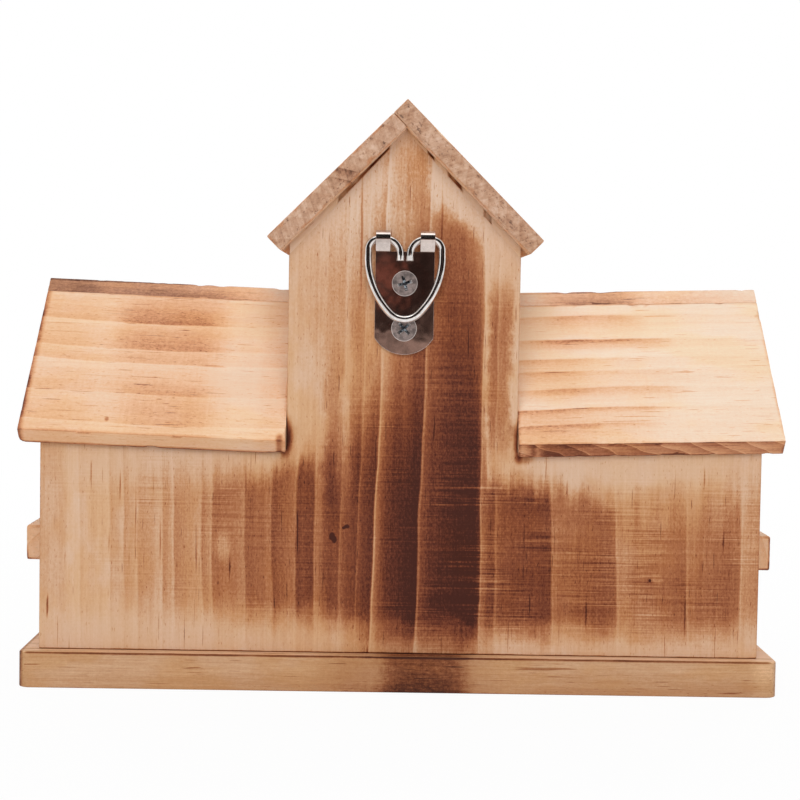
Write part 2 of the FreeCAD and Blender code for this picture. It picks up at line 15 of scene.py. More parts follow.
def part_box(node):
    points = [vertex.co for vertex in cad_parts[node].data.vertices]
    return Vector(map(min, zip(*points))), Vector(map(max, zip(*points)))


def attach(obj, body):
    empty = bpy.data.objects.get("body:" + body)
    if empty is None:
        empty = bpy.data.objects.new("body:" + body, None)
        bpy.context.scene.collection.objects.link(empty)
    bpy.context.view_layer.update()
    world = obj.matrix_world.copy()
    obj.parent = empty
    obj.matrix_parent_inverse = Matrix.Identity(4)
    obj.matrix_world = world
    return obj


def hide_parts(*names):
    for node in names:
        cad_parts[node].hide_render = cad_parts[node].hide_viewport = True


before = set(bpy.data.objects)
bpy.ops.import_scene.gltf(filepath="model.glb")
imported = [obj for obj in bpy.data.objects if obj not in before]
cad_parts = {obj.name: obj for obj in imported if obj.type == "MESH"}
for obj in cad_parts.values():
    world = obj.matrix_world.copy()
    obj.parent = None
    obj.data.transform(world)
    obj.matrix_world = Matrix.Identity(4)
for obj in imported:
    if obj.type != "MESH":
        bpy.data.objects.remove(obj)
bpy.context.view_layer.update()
MM = 0.001
PER_METRE = 1000

# %% [markdown]
# The camera
# The picture was taken from behind, a little to one side and above, with a long lens. A camera can be
# placed by eye, but this one was worked out from the corners of the boards, so its place and turn are plain
# numbers.

# %% Set up the camera
PICTURE_WIDTH = 800
SENSOR_WIDTH = 36
FOCAL_PIXELS = 1809.6
CAMERA_PLACE = Vector((6.93, 587.46, 115.74)) * MM
YAW, PITCH, ROLL = (math.radians(angle) for angle in (0.639, 2.852, 0.963))


def in_scene(name, data):
    thing = bpy.data.objects.new(name, data)
    bpy.context.collection.objects.link(thing)
    return thing


camera = in_scene("photo_camera", bpy.data.cameras.new("photo_camera"))
camera.data.sensor_width = SENSOR_WIDTH
camera.data.lens = FOCAL_PIXELS / PICTURE_WIDTH * SENSOR_WIDTH
camera.matrix_world = Matrix.Translation(CAMERA_PLACE)
for angle, axis in ((math.pi - YAW, "Z"), (math.pi / 2 - PITCH, "X"), (ROLL, "Z")):
    camera.matrix_world @= Matrix.Rotation(angle, 4, axis)
bpy.context.scene.camera = camera
bpy.context.scene.view_settings.view_transform = "Standard"
print("Lens:", round(camera.data.lens, 2), "mm")

# %% [markdown]
# Writing finishes as recipes
# A finish is a set of nodes. Making each by hand takes many lines, so this helper adds one per step and
# hands back its output. In the functions below, mix is the finish in the making.

# %% Steps that add nodes
class Steps:
    """Nodes that are written step by step. Each step adds a node and returns its output."""

    def __init__(self, owner):
        owner.use_nodes = True
        self.tree = owner.node_tree

    def feed(self, socket, value):
        if isinstance(value, bpy.types.NodeSocket):
            self.tree.links.new(value, socket)
        elif value is not None:
            socket.default_value = value

    def set(self, name, value, node="Principled BSDF"):
        self.feed(self.tree.nodes[node].inputs[name], value)

    def add(self, kind, *values, output=0, **settings):
        node = self.tree.nodes.new("ShaderNode" + kind)
        for setting, value in settings.items():
            setattr(node, setting, value)
        for socket, value in zip(node.inputs, values):
            self.feed(socket, value)
        return node.outputs[output]

    def sum(self, operation, *values):
        return self.add("Math", *values, operation=operation)

    def times(self, first, second):
        return self.sum("MULTIPLY", first, second)

    def plus(self, value, share, onto):
        return self.sum("MULTIPLY_ADD", value, share, onto)

    def sway(self, texture, amount, onto):
        """Adds a texture that swings evenly to both sides of nothing."""
        return self.plus(self.sum("SUBTRACT", texture, 0.5), amount, onto)

    def vector(self, operation, *values, output=0):
        return self.add("VectorMath", *values, operation=operation, output=output)

    def part(self, place, axis):
        return self.add("SeparateXYZ", place, output=axis)

    def fade(self, value, low, high, start=0.0, end=1.0):
        return self.add("MapRange", value, low, high, start, end, interpolation_type="SMOOTHSTEP")

    def noise(self, place, stretch, detail=2.0, roughness=0.5, shift=(0, 0, 0), output=0):
        spread = self.vector("MULTIPLY_ADD", place, stretch, shift)
        return self.add("TexNoise", spread, None, 1.0, detail, roughness, output=output)

    def seen(self):
        """1 for what the camera, a mirror or a glass sees, and 0 for light that reaches a dull surface."""
        path = self.tree.nodes.new("ShaderNodeLightPath").outputs
        shiny = self.sum("MAXIMUM", path["Is Camera Ray"], path["Is Glossy Ray"])
        return self.sum("MAXIMUM", shiny, path["Is Transmission Ray"])


print("Steps ready")

# %% [markdown]
# Patches, lines and colours
# A spot is a soft patch. A line is drawn as points, and a curve node reads it, which is easier to
# correct than a formula. A ramp turns a number into a colour.

# %% Steps that draw
SLIVER = 1e-6


def tint(red, green, blue):
    """A colour as seen on a screen, 0 to 255, as the plain light values that shaders use."""
    def plain(value):
        share = value / 255
        return share / 12.92 if share <= 0.04045 else ((share + 0.055) / 1.055) ** 2.4
    return (plain(red), plain(green), plain(blue), 1)


def height_at(points, place):
    """Height of a drawn line at a place."""
    for (first, low), (second, high) in zip(points, points[1:]):
        if first <= place <= second:
            return low + (high - low) * (place - first) / (second - first)


class Recipe(Steps):
    """A finish, with steps that draw patches, lines and colours."""

    def __init__(self, name):
        self.material = bpy.data.materials.new(name)
        super().__init__(self.material)

    def spot(self, place, centre, half, soft, strength, boxy=True):
        """A soft patch: a rounded box, or else an oval."""
        scale = [1 / size if size else 0 for size in half]
        offset = [-middle * part for middle, part in zip(centre, scale)]
        near = self.vector("MULTIPLY_ADD", place, scale, offset)
        power = 2 if boxy else 1
        reach = self.vector("LENGTH", self.vector("MULTIPLY", near, near) if boxy else near, output=1)
        return self.fade(reach, (1 + soft) ** power, (1 - soft) ** power, 0.0, strength)

    def line(self, value, points, stretches=1):
        """Reads a drawn line. A curve node keeps 256 steps, so a long line is cut into stretches."""
        low, width = points[0][0], (points[-1][0] - points[0][0]) / stretches
        heights = [height for _, height in points]
        bottom, span = min(heights), max(heights) - min(heights)
        total = 0.0
        for index in range(stretches):
            start, stop = low + index * width, low + (index + 1) * width - SLIVER
            node = self.tree.nodes.new("ShaderNodeFloatCurve")
            drawn = node.mapping.curves[0].points
            for end, share, place in zip(drawn, (0, 1), (start, stop)):
                end.location = (share, (height_at(points, place) - bottom) / span)
            for place, height in points:
                if start < place < stop:
                    drawn.new((place - start) / width, (height - bottom) / span)
            for point in drawn:
                point.handle_type = "VECTOR"
            node.mapping.update()
            self.feed(node.inputs["Value"], self.add("MapRange", value, start, stop, 0.0, 1.0))
            here = self.sum("COMPARE", value, start + width / 2, width / 2)
            total = self.plus(node.outputs[0], here, total)
        return self.plus(total, span, bottom)

    def ramp(self, value, stops):
        node = self.tree.nodes.new("ShaderNodeValToRGB")
        elements = node.color_ramp.elements
        while len(elements) < len(stops):
            elements.new(0.5)
        for element, (place, colour) in zip(elements, stops):
            element.position = place
            element.color = tint(*colour)
        self.feed(node.inputs[0], value)
        return node.outputs[0]

    def blend(self, share, first, second, way="MIX"):
        node = self.tree.nodes.new("ShaderNodeMix")
        node.data_type, node.blend_type = "RGBA", way
        for index, value in ((0, share), (6, first), (7, second)):
            self.feed(node.inputs[index], value)
        return node.outputs[2]

    def bump(self, height, depth, strength):
        self.set("Normal", self.add("Bump", strength, depth, None, height))


print("Recipe ready")

# %% [markdown]
# The sky
# The sky is white to the camera and to shiny metal, but lights the wood at a plain level. Brighter lamps
# would make it white too, but would bleach the wood.

# %% Sky
SKY_LIGHT = 0.40
WHITE = (1, 1, 1, 1)
bpy.context.scene.world = bpy.data.worlds.new("studio_sky")
sky = Steps(bpy.context.scene.world)
sky.set("Color", WHITE, "Background")
sky.set("Strength", sky.add("MapRange", sky.seen(), None, None, SKY_LIGHT), "Background")
print("Sky light on the wood:", SKY_LIGHT)

# %% [markdown]
# The floor
# The birdhouse stands on a pale sheet. Close by, the sheet takes a faint shadow; further out it glows
# fully, so that no horizon shows.

# %% Floor
FLOOR_RADIUS, FLOOR_SIDES = 5, 96
FLOOR_DROP = 0.1 * MM
FLOOR_GLOW = 0.95
GLOW_STARTS, GLOW_FULL = 0.2, 0.7
PAPER_COLOUR, PAPER_ROUGHNESS = (0.86, 0.86, 0.86, 1), 0.9


def mesh_piece(name, bm, material):
    """Turns a mesh in progress into a piece of the scene."""
    mesh = bpy.data.meshes.new(name)
    bm.to_mesh(mesh)
    bm.free()
    mesh.materials.append(material)
    return in_scene(name, mesh)


paper = Recipe("pale_paper")
paper.set("Base Color", PAPER_COLOUR)
paper.set("Roughness", PAPER_ROUGHNESS)
away = paper.vector("LENGTH", paper.add("TexCoord", output=3), output=1)
share = paper.times(paper.seen(), paper.fade(away, GLOW_STARTS, GLOW_FULL, FLOOR_GLOW, 1.0))
dull = paper.tree.nodes["Principled BSDF"].outputs[0]
glowing = paper.add("MixShader", share, dull, paper.add("Emission", WHITE, 1.0))
paper.set("Surface", glowing, "Material Output")
sheet = bmesh.new()
bmesh.ops.create_circle(sheet, cap_ends=True, radius=FLOOR_RADIUS, segments=FLOOR_SIDES,
                        matrix=Matrix.Translation((0, 0, -FLOOR_DROP)))
floor = mesh_piece("floor", sheet, paper.material)
print("Floor radius:", FLOOR_RADIUS, "m")

# %% [markdown]
# The lamps
# Large square lamps give soft shadows: one high behind the camera, one overhead, and one for the front,
# which the picture doesn't show. Small lamps would give hard shadows under the eaves.

# %% Lamps
LAMPS_AIM = Vector((0, 0, 0.09))
LAMPS = [
    ("main_softbox", (0.08, 1.9, 1.2), (1.6, 1.5), 26), ("top_softbox", (0, 0.5, 1.9), (1.8, 1.2), 6),
    ("front_softbox", (0, -1.8, 1.1), (2.4, 1.2), 26),
]
for name, place, size, power in LAMPS:
    lamp = bpy.data.lights.new(name, "AREA")
    lamp.shape = "RECTANGLE"
    lamp.size, lamp.size_y = size
    lamp.energy = power
    holder = in_scene(name, lamp)
    holder.location = place
    holder.rotation_euler = (LAMPS_AIM - Vector(place)).to_track_quat("-Z", "Y").to_euler()
print("Lamps:", len(LAMPS))

# %% [markdown]
# A dark card
# Chrome needs something dark to mirror, so a dark card stands behind the camera, and only reflections see
# it. What the flat plate mirrors is brown and blotchy, like a room, with a red blur and a paler foot; the
# rest is nearly black, for the dark core of the wire.

# %% Card
CARD_DISTANCE = 1.15
CARD_SIZE = (3.2, 2.2)
CARD_BLACK = (20, 17, 16)
CARD_BLOTCHES = (26, 26, 22)
CARD_SHADES = [(0.34, (36, 25, 22)), (0.52, (62, 46, 42)), (0.66, (104, 84, 77))]
MIRRORED_PLACE, MIRRORED_SIZE = (-0.014, CARD_DISTANCE, 0.121), (0.2, 0, 0.2)
RED_PLACE, RED_SIZE, RED = (0.003, CARD_DISTANCE, 0.144), (0.014, 0, 0.018), (144, 86, 72)
FOOT_FROM, FOOT_TO, FOOT = 0.098, 0.082, (168, 142, 132)

dark = Recipe("dark_card")
card_place = dark.add("TexCoord", output=3)
blotch = dark.noise(card_place, CARD_BLOTCHES, detail=4, roughness=0.6)
height = dark.sway(blotch, 0.03, dark.part(card_place, 2))
red_blur = dark.spot(card_place, RED_PLACE, RED_SIZE, 0.7, 0.9, boxy=False)
mirrored = dark.spot(card_place, MIRRORED_PLACE, MIRRORED_SIZE, 0.4, 1.0, boxy=False)
shade = dark.blend(red_blur, dark.ramp(blotch, CARD_SHADES), tint(*RED))
shade = dark.blend(dark.fade(height, FOOT_FROM, FOOT_TO), shade, tint(*FOOT))
shade = dark.blend(mirrored, tint(*CARD_BLACK), shade)
dark.set("Surface", dark.add("Emission", shade, 1.0), "Material Output")
sheet = bmesh.new()
stand = Matrix.Translation((0, CARD_DISTANCE, CARD_SIZE[1] / 2)) @ Matrix.Rotation(math.radians(90), 4, "X")
bmesh.ops.create_grid(sheet, size=0.5, matrix=stand @ Matrix.Diagonal((*CARD_SIZE, 1, 1)))
card = mesh_piece("dark_card", sheet, dark.material)
for ray in ("camera", "diffuse", "transmission", "shadow"):
    setattr(card, "visible_" + ray, False)
print("Card:", CARD_SIZE, "m")

# %% [markdown]
# Growth rings
# A board shows the tree's growth rings as bands that start pale, darken away from the heart and end in a
# hard edge. Where the picture shows them, each edge is listed, with how pale the ring starts;
# elsewhere they grow by chance round a heart line. A board's three directions, in millimetres, are across
# the grain, through the board and along the grain.

# %% Boards and their rings
RING_EDGE = 0.5
RING_SHARES = (0, 0.04, 0.15, 0.4, 0.7, 1)


def board_axes(across, along):
    """Across, through and along a board, as the rows of a turn."""
    along = Vector(along).normalized()
    across = (Vector(across) - along * along.dot(Vector(across))).normalized()
    return Matrix((across, along.cross(across), along))


def grown_rings(heart, gap, wander=2.5):
    """Rings of chance round a heart line at a place across and through the board."""
    def rings(mix, place):
        centred = mix.vector("MULTIPLY_ADD", place, (1, 1, 0), (-heart[0], -heart[1], 0))
        radius = mix.vector("LENGTH", centred, output=1)
        drift = mix.noise(place, (0.02, 0.02, 0.007), detail=1.5)
        moved = mix.sway(drift, 2 * wander, radius)
        uneven = mix.noise(mix.add("CombineXYZ", moved, 0.0, 0.0), (0.11, 1, 1), detail=1.0)
        count = mix.plus(uneven, 2.2, mix.sum("DIVIDE", moved, gap))
        return mix.sum("POWER", mix.sum("FRACT", count), 2.0)
    return rings


def ring_line(heart, edges, darkening):
    """Tone across a board, from its ring edges."""
    points = {}
    for side in (-1, 1):
        inner = heart
        outward = [ring for ring in edges if (ring[0] - heart) * side > 0]
        for edge, paleness in sorted(outward, key=lambda ring: ring[0] * side):
            start = inner + side * RING_EDGE
            for share in RING_SHARES:
                points[start + (edge - start) * share] = 1 - paleness * (1 - share ** darkening[side > 0])
            inner = edge
    return sorted(points.items())


def drawn_rings(heart, edges, darkening, bend, stretches=1):
    """Rings with listed edges, which bend moves sideways."""
    def rings(mix, place):
        moved = mix.sum("ADD", mix.part(place, 0), bend(mix, place))
        return mix.line(moved, ring_line(heart, edges, darkening), stretches)
    return rings


print("Rings can be grown or drawn")

# %% [markdown]
# The torch
# The maker browned the pine with a torch. Each pass of the flame is a soft patch with a middle, a size, a
# softness and a strength. Its edge is frayed, because the flame follows the grain here and there. Loose
# patches also serve for dust and for the saw's marks.

# %% Loose patches
def frayed(mix, place, amount):
    """The same place, moved a little to all sides in a blotchy way."""
    blotch = mix.noise(place, (0.14, 0.14, 0.1), detail=5, roughness=0.65, shift=(9, 4, 2), output=1)
    swing = mix.vector("SUBTRACT", blotch, (0.5, 0.5, 0.5))
    return mix.vector("MULTIPLY_ADD", swing, (amount, amount, amount), place)


def patches(mix, place, list_of_patches, boxy=True):
    """Sum of patches, each a place across and along, half sizes across and along, softness and strength."""
    total = 0.0
    for across, along, half_across, half_along, soft, strength in list_of_patches:
        patch = mix.spot(place, (across, 0, along), (half_across, 0, half_along), soft, strength, boxy)
        total = mix.sum("ADD", patch, total)
    return total


def loose_patches(list_of_patches, fray=6.0, boxy=True):
    def draw(mix, place):
        return patches(mix, frayed(mix, place, fray) if fray else place, list_of_patches, boxy)
    return draw


print("Torch ready")

# %% [markdown]
# A drawn burn
# The burn of a whole wall is too uneven for patches. Four lines are drawn across the board instead: how
# strong it is, how high it reaches, how softly it ends there, and where it begins above the base. At its
# top it licks up in small tongues.

# %% Burning a wall
WALL_FRAY = 9.0
TONGUES = 20.0
SHORTEST_TONGUES = 6.0
FOOT_SOFTNESS = 7.0


def drawn_burn(strength, top, softness, foot, bend):
    def burn(mix, place):
        across = mix.sum("ADD", mix.part(place, 0), bend(mix, place))
        height = mix.part(frayed(mix, place, WALL_FRAY), 2)
        over_top = mix.sum("SUBTRACT", height, mix.line(across, top))
        over_foot = mix.sum("SUBTRACT", height, mix.line(across, foot))
        tongue = mix.noise(place, (0.3, 0.3, 0.012), detail=3, roughness=0.6)
        reach = mix.line(across, softness)
        length = mix.sum("MINIMUM", TONGUES, mix.sum("ADD", reach, SHORTEST_TONGUES))
        over_top = mix.sum("DIVIDE", mix.sway(tongue, length, over_top), reach)
        heat = mix.times(mix.line(across, strength), mix.fade(over_top, 1.0, -1.0))
        return mix.times(heat, mix.fade(over_foot, -FOOT_SOFTNESS, FOOT_SOFTNESS, 0.1, 1.0))
    return burn


print("Tongues:", SHORTEST_TONGUES, "to", TONGUES, "mm")

# %% [markdown]
# Clean grain
# One number, the tone, says how far each spot has gone from pale to burnt. In clean pine it comes from
# rings, fibres, hairs, resin, cracks and pores. Each is a noise stretched along the grain: the table says
# how finely it runs per millimetre across, through and along, then its detail and roughness.

# %% Grain
TEXTURES = {
    "fibre": ((0.7, 0.7, 0.014), 5, 0.66), "hair": ((2.0, 2.0, 0.1), 3, 0.65),
    "resin": ((2.2, 2.2, 0.09), 1, 0.5), "speck": ((2.4, 2.4, 0.55), 1, 0.5),
    "crack": ((1.1, 1.1, 0.035), 2, 0.6), "grit": ((1.5, 1.5, 0.9), 4, 0.75),
    "kerf": ((0.03, 0.3, 1.6), 3, 0.65), "scratch": ((0.014, 0.3, 1.1), 2, 0.6),
    "sawn_area": ((0.05, 0.05, 0.07), 2, 0.5), "worn_area": ((0.12, 0.12, 0.06), 3, 0.5),
    "cloud": ((0.06, 0.06, 0.03), 4, 0.6), "pits": ((0.6, 0.6, 0.6), 6, 0.7),
    "lumps": ((0.16, 0.22, 0.2), 3, 0.6), "holes": ((0.7, 1.1, 0.9), 3, 0.6),
    "strokes": ((1.3, 0.1, 0.2), 4, 0.65),
}
TASTE = {
    "raw": 0.08, "ring_depth": 0.16, "burn_by_ring": 0.6, "fibres": 0.12, "dashes": 0.4, "specks": 0.25,
    "cracks": 0.1, "mottle": 0.7, "saw": 0.3, "grit": 0.25, "kerf": 0.2, "corner": 0.3, "end": 0.6,
    "chalk": 0.4, "honey": 0.6, "rust": 0.0,
}


def texture(mix, place, name, shift):
    stretch, detail, roughness = TEXTURES[name]
    return mix.noise(place, stretch, detail, roughness, shift)


def grain_tone(mix, place, band, taste, shift):
    """Tone of clean pine, and the height of its grain."""
    names = ("fibre", "hair", "resin", "speck", "crack")
    fibre, hair, resin, speck, crack = (texture(mix, place, name, shift) for name in names)
    tone = mix.plus(band, taste["ring_depth"], taste["raw"])
    tone = mix.sway(fibre, taste["fibres"] * 2, tone)
    tone = mix.sway(hair, taste["fibres"] * 1.4, tone)
    tone = mix.plus(mix.fade(resin, 0.71, 0.76), taste["dashes"], tone)
    tone = mix.plus(mix.fade(crack, 0.67, 0.72), taste["cracks"], tone)
    pore = mix.times(mix.fade(speck, 0.66, 0.74), band)
    tone = mix.plus(pore, taste["specks"], tone)
    height = mix.plus(hair, 0.5, mix.plus(band, 0.35, fibre))
    return tone, height


print("Textures:", len(TEXTURES))

# %% [markdown]
# Soot, saw marks, dust and cut ends
# A burn never takes evenly: soot mottles it, and the saw's ridges stand out as fine lines. Pale wood is
# yellowed here and dusty there. Cut ends look quite different, because open pores drink the soot: they are
# greyer, pitted, and crossed by the slanting strokes of the saw.

# %% Soot, dust and cut ends
END_STOPS = [
    (0, (216, 184, 162)), (0.3, (199, 161, 136)), (0.6, (176, 132, 104)), (0.8, (146, 104, 82)),
    (1, (92, 62, 50)),
]
HONEY, CHALK, RUST = (252, 245, 226), (217, 190, 168), (206, 138, 92)
SAW_SLANT = math.radians(25)


def burnt_texture(mix, place, taste, shift, sawn):
    """How unevenly the burn takes, then the saw's lines, and the two textures that they come from."""
    grit = texture(mix, place, "grit", shift)
    kerf = texture(mix, place, "kerf", shift)
    scratch = texture(mix, place, "scratch", (shift[2], 3, 8))
    area = texture(mix, place, "sawn_area", shift)
    lines = mix.sway(kerf, -1.8, mix.fade(scratch, 0.62, 0.72, 0.0, -0.4))
    lines = mix.times(lines, mix.fade(area, 0.4, 0.6, 0.3 * taste["saw"], 1.3 * taste["saw"]))
    lines = mix.times(lines, sawn(mix, place))
    return mix.sway(grit, taste["mottle"], mix.sum("ADD", lines, 1.0)), lines, kerf, grit


def aged(mix, place, tone, colour, taste, shift, dust_and_painted_light):
    """A colour that is yellowed here and dusty there; drawn dust can also hold painted light."""
    cloud = texture(mix, place, "cloud", shift)
    yellowed = mix.fade(cloud, 0.55, 0.4, 0.0, taste["honey"])
    colour = mix.blend(yellowed, colour, tint(*HONEY), "MULTIPLY")
    chalk = mix.fade(cloud, 0.45, 0.62, 0.0, taste["chalk"])
    if dust_and_painted_light:
        chalk = mix.sum("MAXIMUM", chalk, dust_and_painted_light(mix, place))
    return mix.blend(mix.times(chalk, mix.fade(tone, 0.4, 0.15)), colour, tint(*CHALK))


def cut_end(mix, place, lengthwise, tone, taste, shift):
    """How far a face is a cut end, the colour it has there, and its pits."""
    cut = mix.fade(mix.sum("ABSOLUTE", lengthwise), 0.55, 0.9, 0.0, taste["end"])
    slanted = mix.add("Mapping", place, None, (0, 0, SAW_SLANT))
    pits = mix.sway(texture(mix, slanted, "strokes", shift), 0.8, texture(mix, place, "pits", shift))
    cut_tone = mix.sway(pits, 1.1, mix.plus(tone, 0.55, 0.36))
    cut_tone = mix.sway(texture(mix, place, "lumps", shift), 1.0, cut_tone)
    cut_tone = mix.plus(mix.fade(texture(mix, place, "holes", shift), 0.6, 0.68), 0.4, cut_tone)
    return cut, mix.ramp(cut_tone, END_STOPS), pits


print("Slant of the saw:", round(math.degrees(SAW_SLANT)), "degrees")

# %% [markdown]
# The pine recipe
# Everything adds to the tone, and a ramp turns it into a colour. The same textures raise the surface a
# little, so that light catches on the grain. Each board brings its rings, and functions that draw its burn,
# marks, saw lines and dust, so all boards share one recipe. On the back board the marks and dust also paint
# some shade and light.

# %% Pine
# Worn corners, and painted shade in the filler's slots and the screws' recesses.
WEAR_AND_SHADE = "wear_and_shade_share"
WALL_STOPS = [
    (0, (220, 187, 159)), (0.18, (208, 166, 131)), (0.35, (195, 144, 104)), (0.52, (169, 108, 71)),
    (0.7, (133, 73, 46)), (0.85, (99, 49, 33)), (1, (68, 32, 23)),
]
SEED_STEPS = (37.1, 11.7, 23.9)
PINE_GLOSS = 0.14
GRAIN_DEPTH = 0.2 * MM


def lightly_sawn(mix, place):
    return 0.5


def pine(name, axes, rings, burn=None, extra=None, sawn=lightly_sawn, dust_and_painted_light=None, origin=(0, 0, 0),
         stops=WALL_STOPS, seed=0, **changes):
    taste = {**TASTE, **changes}
    shift = tuple(seed * step for step in SEED_STEPS)
    mix = Recipe(name)
    coordinates = mix.tree.nodes.new("ShaderNodeTexCoord")
    place = mix.add("Mapping", coordinates.outputs["Object"], axes @ Vector(origin) * -PER_METRE,
                    axes.to_euler(), (PER_METRE,) * 3)
    normal = coordinates.outputs["Normal"]
    band = rings(mix, place)
    tone, height = grain_tone(mix, place, band, taste, shift)
    uneven, lines, kerf, grit = burnt_texture(mix, place, taste, shift, sawn)
    if burn:
        share = mix.plus(band, taste["burn_by_ring"], 1 - taste["burn_by_ring"])
        heat = mix.times(mix.times(burn(mix, place), share), uneven)
        tone = mix.sum("ADD", tone, heat)
    if extra:
        tone = mix.sum("ADD", tone, extra(mix, place, normal))
    tone = mix.sway(grit, taste["grit"], mix.plus(lines, taste["kerf"], tone))
    patchy = mix.fade(texture(mix, place, "worn_area", shift), 0.36, 0.62, 0.1, 1.0)
    # Worn corners darken; on the filler strips this attribute is painted shade in the slots.
    worn = mix.times(mix.add("Attribute", attribute_name=WEAR_AND_SHADE, output=2), patchy)
    tone = mix.plus(worn, taste["corner"], tone)
    colour = aged(mix, place, tone, mix.ramp(tone, stops), taste, shift, dust_and_painted_light)
    lengthwise = mix.vector("DOT_PRODUCT", normal, tuple(axes[2]), output=1)
    cut, cut_colour, pits = cut_end(mix, place, lengthwise, tone, taste, shift)
    colour = mix.blend(cut, colour, cut_colour)
    mix.set("Base Color", mix.blend(mix.times(worn, taste["rust"]), colour, tint(*RUST)))
    mix.set("Roughness", mix.fade(grit, 0.2, 0.8, 0.6, 0.8))
    mix.set("Specular IOR Level", PINE_GLOSS)
    height = mix.plus(mix.times(cut, pits), 3.0, mix.plus(kerf, 0.3, height))
    mix.bump(height, GRAIN_DEPTH, 0.6)
    print("Finish:", name, len(mix.tree.nodes), "nodes")
    return mix.material


# %% [markdown]
# The back board's rings
# The picture shows this face, so its rings are listed one by one. The tree's heart lay left of the tower's
# middle. The rings get wider away from it, and lean to both sides.

# %% Rings of the back board
BACK_HEART = -29.2
BACK_RINGS = [
    (-111, 0.3), (-103.6, 0.8), (-97.2, 0.7), (-87.9, 0.5), (-83.8, 0.5), (-79.7, 0.5), (-72.2, 0.5),
    (-68.7, 0.5), (-60.1, 0.45), (-57.1, 0.3), (-47, 0.33), (-38.7, 0.3), (-31.2, 0.05), (-26.2, 0.05),
    (-18.8, 0.4), (-13.5, 0.35), (-8.5, 0.3), (5.3, 0.7), (24, 0.55), (28.5, 0.55), (45.5, 0.35),
    (65, 0.35), (86.7, 0.4), (103.2, 0.35), (112, 0.4),
]
BACK_DARKENING = (0.7, 0.26)
BACK_LEAN = [(-112, -2), (-36, -1), (-8, 3), (6, 2), (24, 0), (46, -3), (66, -3.5), (112, -2)]


def back_bend(mix, place):
    lean = mix.line(mix.part(place, 0), BACK_LEAN)
    rise = mix.plus(mix.part(place, 2), -0.01, 0.5)
    wave = mix.noise(place, (0.05, 0.05, 0.03), detail=2.5)
    return mix.sway(wave, 2.4, mix.times(lean, rise))


back_rings = drawn_rings(BACK_HEART, BACK_RINGS, BACK_DARKENING, back_bend, stretches=4)
print("Rings in the back board:", len(BACK_RINGS))

# %% [markdown]
# The back board's burn
# The torch was strongest under the tower, and the eaves and the base kept it off the wood beside them. Each
# column between two rings has its own strength and height. In the gable the burn ends along a slant, and
# weak patches add streaks and smoke.

# %% Burn of the back board
BURN_STRENGTH = [
    (-112, 0.14), (-104, 0.14), (-100, 0), (-92, 0.02), (-84, 0.14), (-72, 0.22), (-62, 0.28), (-50, 0.44),
    (-40, 0.54), (-31.6, 0.54), (-30.8, 0.62), (-26.6, 0.62), (-24.5, 0.49), (-22, 0.64), (-18, 0.6),
    (-8, 0.74), (-4, 0.87), (10, 0.94), (23, 0.94), (25, 0.58), (30, 0.67), (45, 0.66), (47, 0.52),
    (64, 0.52), (67, 0.4), (85, 0.45), (88, 0.48), (102, 0.48), (104, 0.34), (112, 0.32),
]
BURN_TOP = [
    (-112, 80), (-104, 80), (-100, 60), (-80, 64), (-47.2, 66), (-46.8, 64.5), (-38.8, 65), (-38.2, 67.5),
    (-31.4, 67), (-31, 71), (-26.4, 70), (-26, 72), (-18, 70), (-14, 78), (-10, 85), (-6, 95), (4, 108),
    (9, 132), (16, 135), (20, 120), (24, 100), (26, 65), (36, 63), (46, 61), (64, 60.3), (72, 57), (84, 56),
    (92, 56), (104, 62), (112, 65),
]
BURN_SOFTNESS = [
    (-112, 12), (-60, 9), (-40, 4), (-30, 5), (-26, 12), (-14, 22), (-6, 36), (4, 60), (9, 94), (16, 92),
    (24, 52), (26, 6), (46, 6), (64, 8), (84, 12), (112, 14),
]
BURN_FOOT = [
    (-112, 26), (-60, 24), (-40, 22), (-22, 21.7), (-10, 19), (4, 17.6), (24, 17.8), (40, 18.5), (90, 18),
    (104, 20.5), (112, 21),
]
GABLE_SLANT = 0.67
GABLE_BURNT, GABLE_CLEAN = 147.7, 156.7
BACK_PATCHES = [
    (29, 96, 3.4, 22, 0.5, 0.42), (0, 140, 46, 34, 0.4, 0.08), (1, 157, 6, 8, 0.7, 0.17),
    (-1, 136, 7, 9, 0.8, 0.16), (6, 12, 18, 6, 0.4, 0.24), (-15, 104, 10, 26, 0.7, 0.12),
    (-76, 48, 18, 24, 0.7, 0.06), (-21, 79, 2, 18, 0.8, 0.17), (-13, 92, 2, 22, 0.8, 0.12),
    (-34, 72, 2, 6, 0.7, 0.2), (66, 47, 42, 6, 0.8, -0.06),
]


def back_burn(mix, place):
    drawn = drawn_burn(BURN_STRENGTH, BURN_TOP, BURN_SOFTNESS, BURN_FOOT, back_bend)(mix, place)
    loose = frayed(mix, place, WALL_FRAY)
    slanted = mix.vector("DOT_PRODUCT", loose, (GABLE_SLANT, 0, 1), output=1)
    drawn = mix.times(drawn, mix.fade(slanted, GABLE_CLEAN, GABLE_BURNT))
    return mix.sum("MAXIMUM", mix.sum("ADD", drawn, patches(mix, loose, BACK_PATCHES)), 0.0)


print("Patches on the back board:", len(BACK_PATCHES))
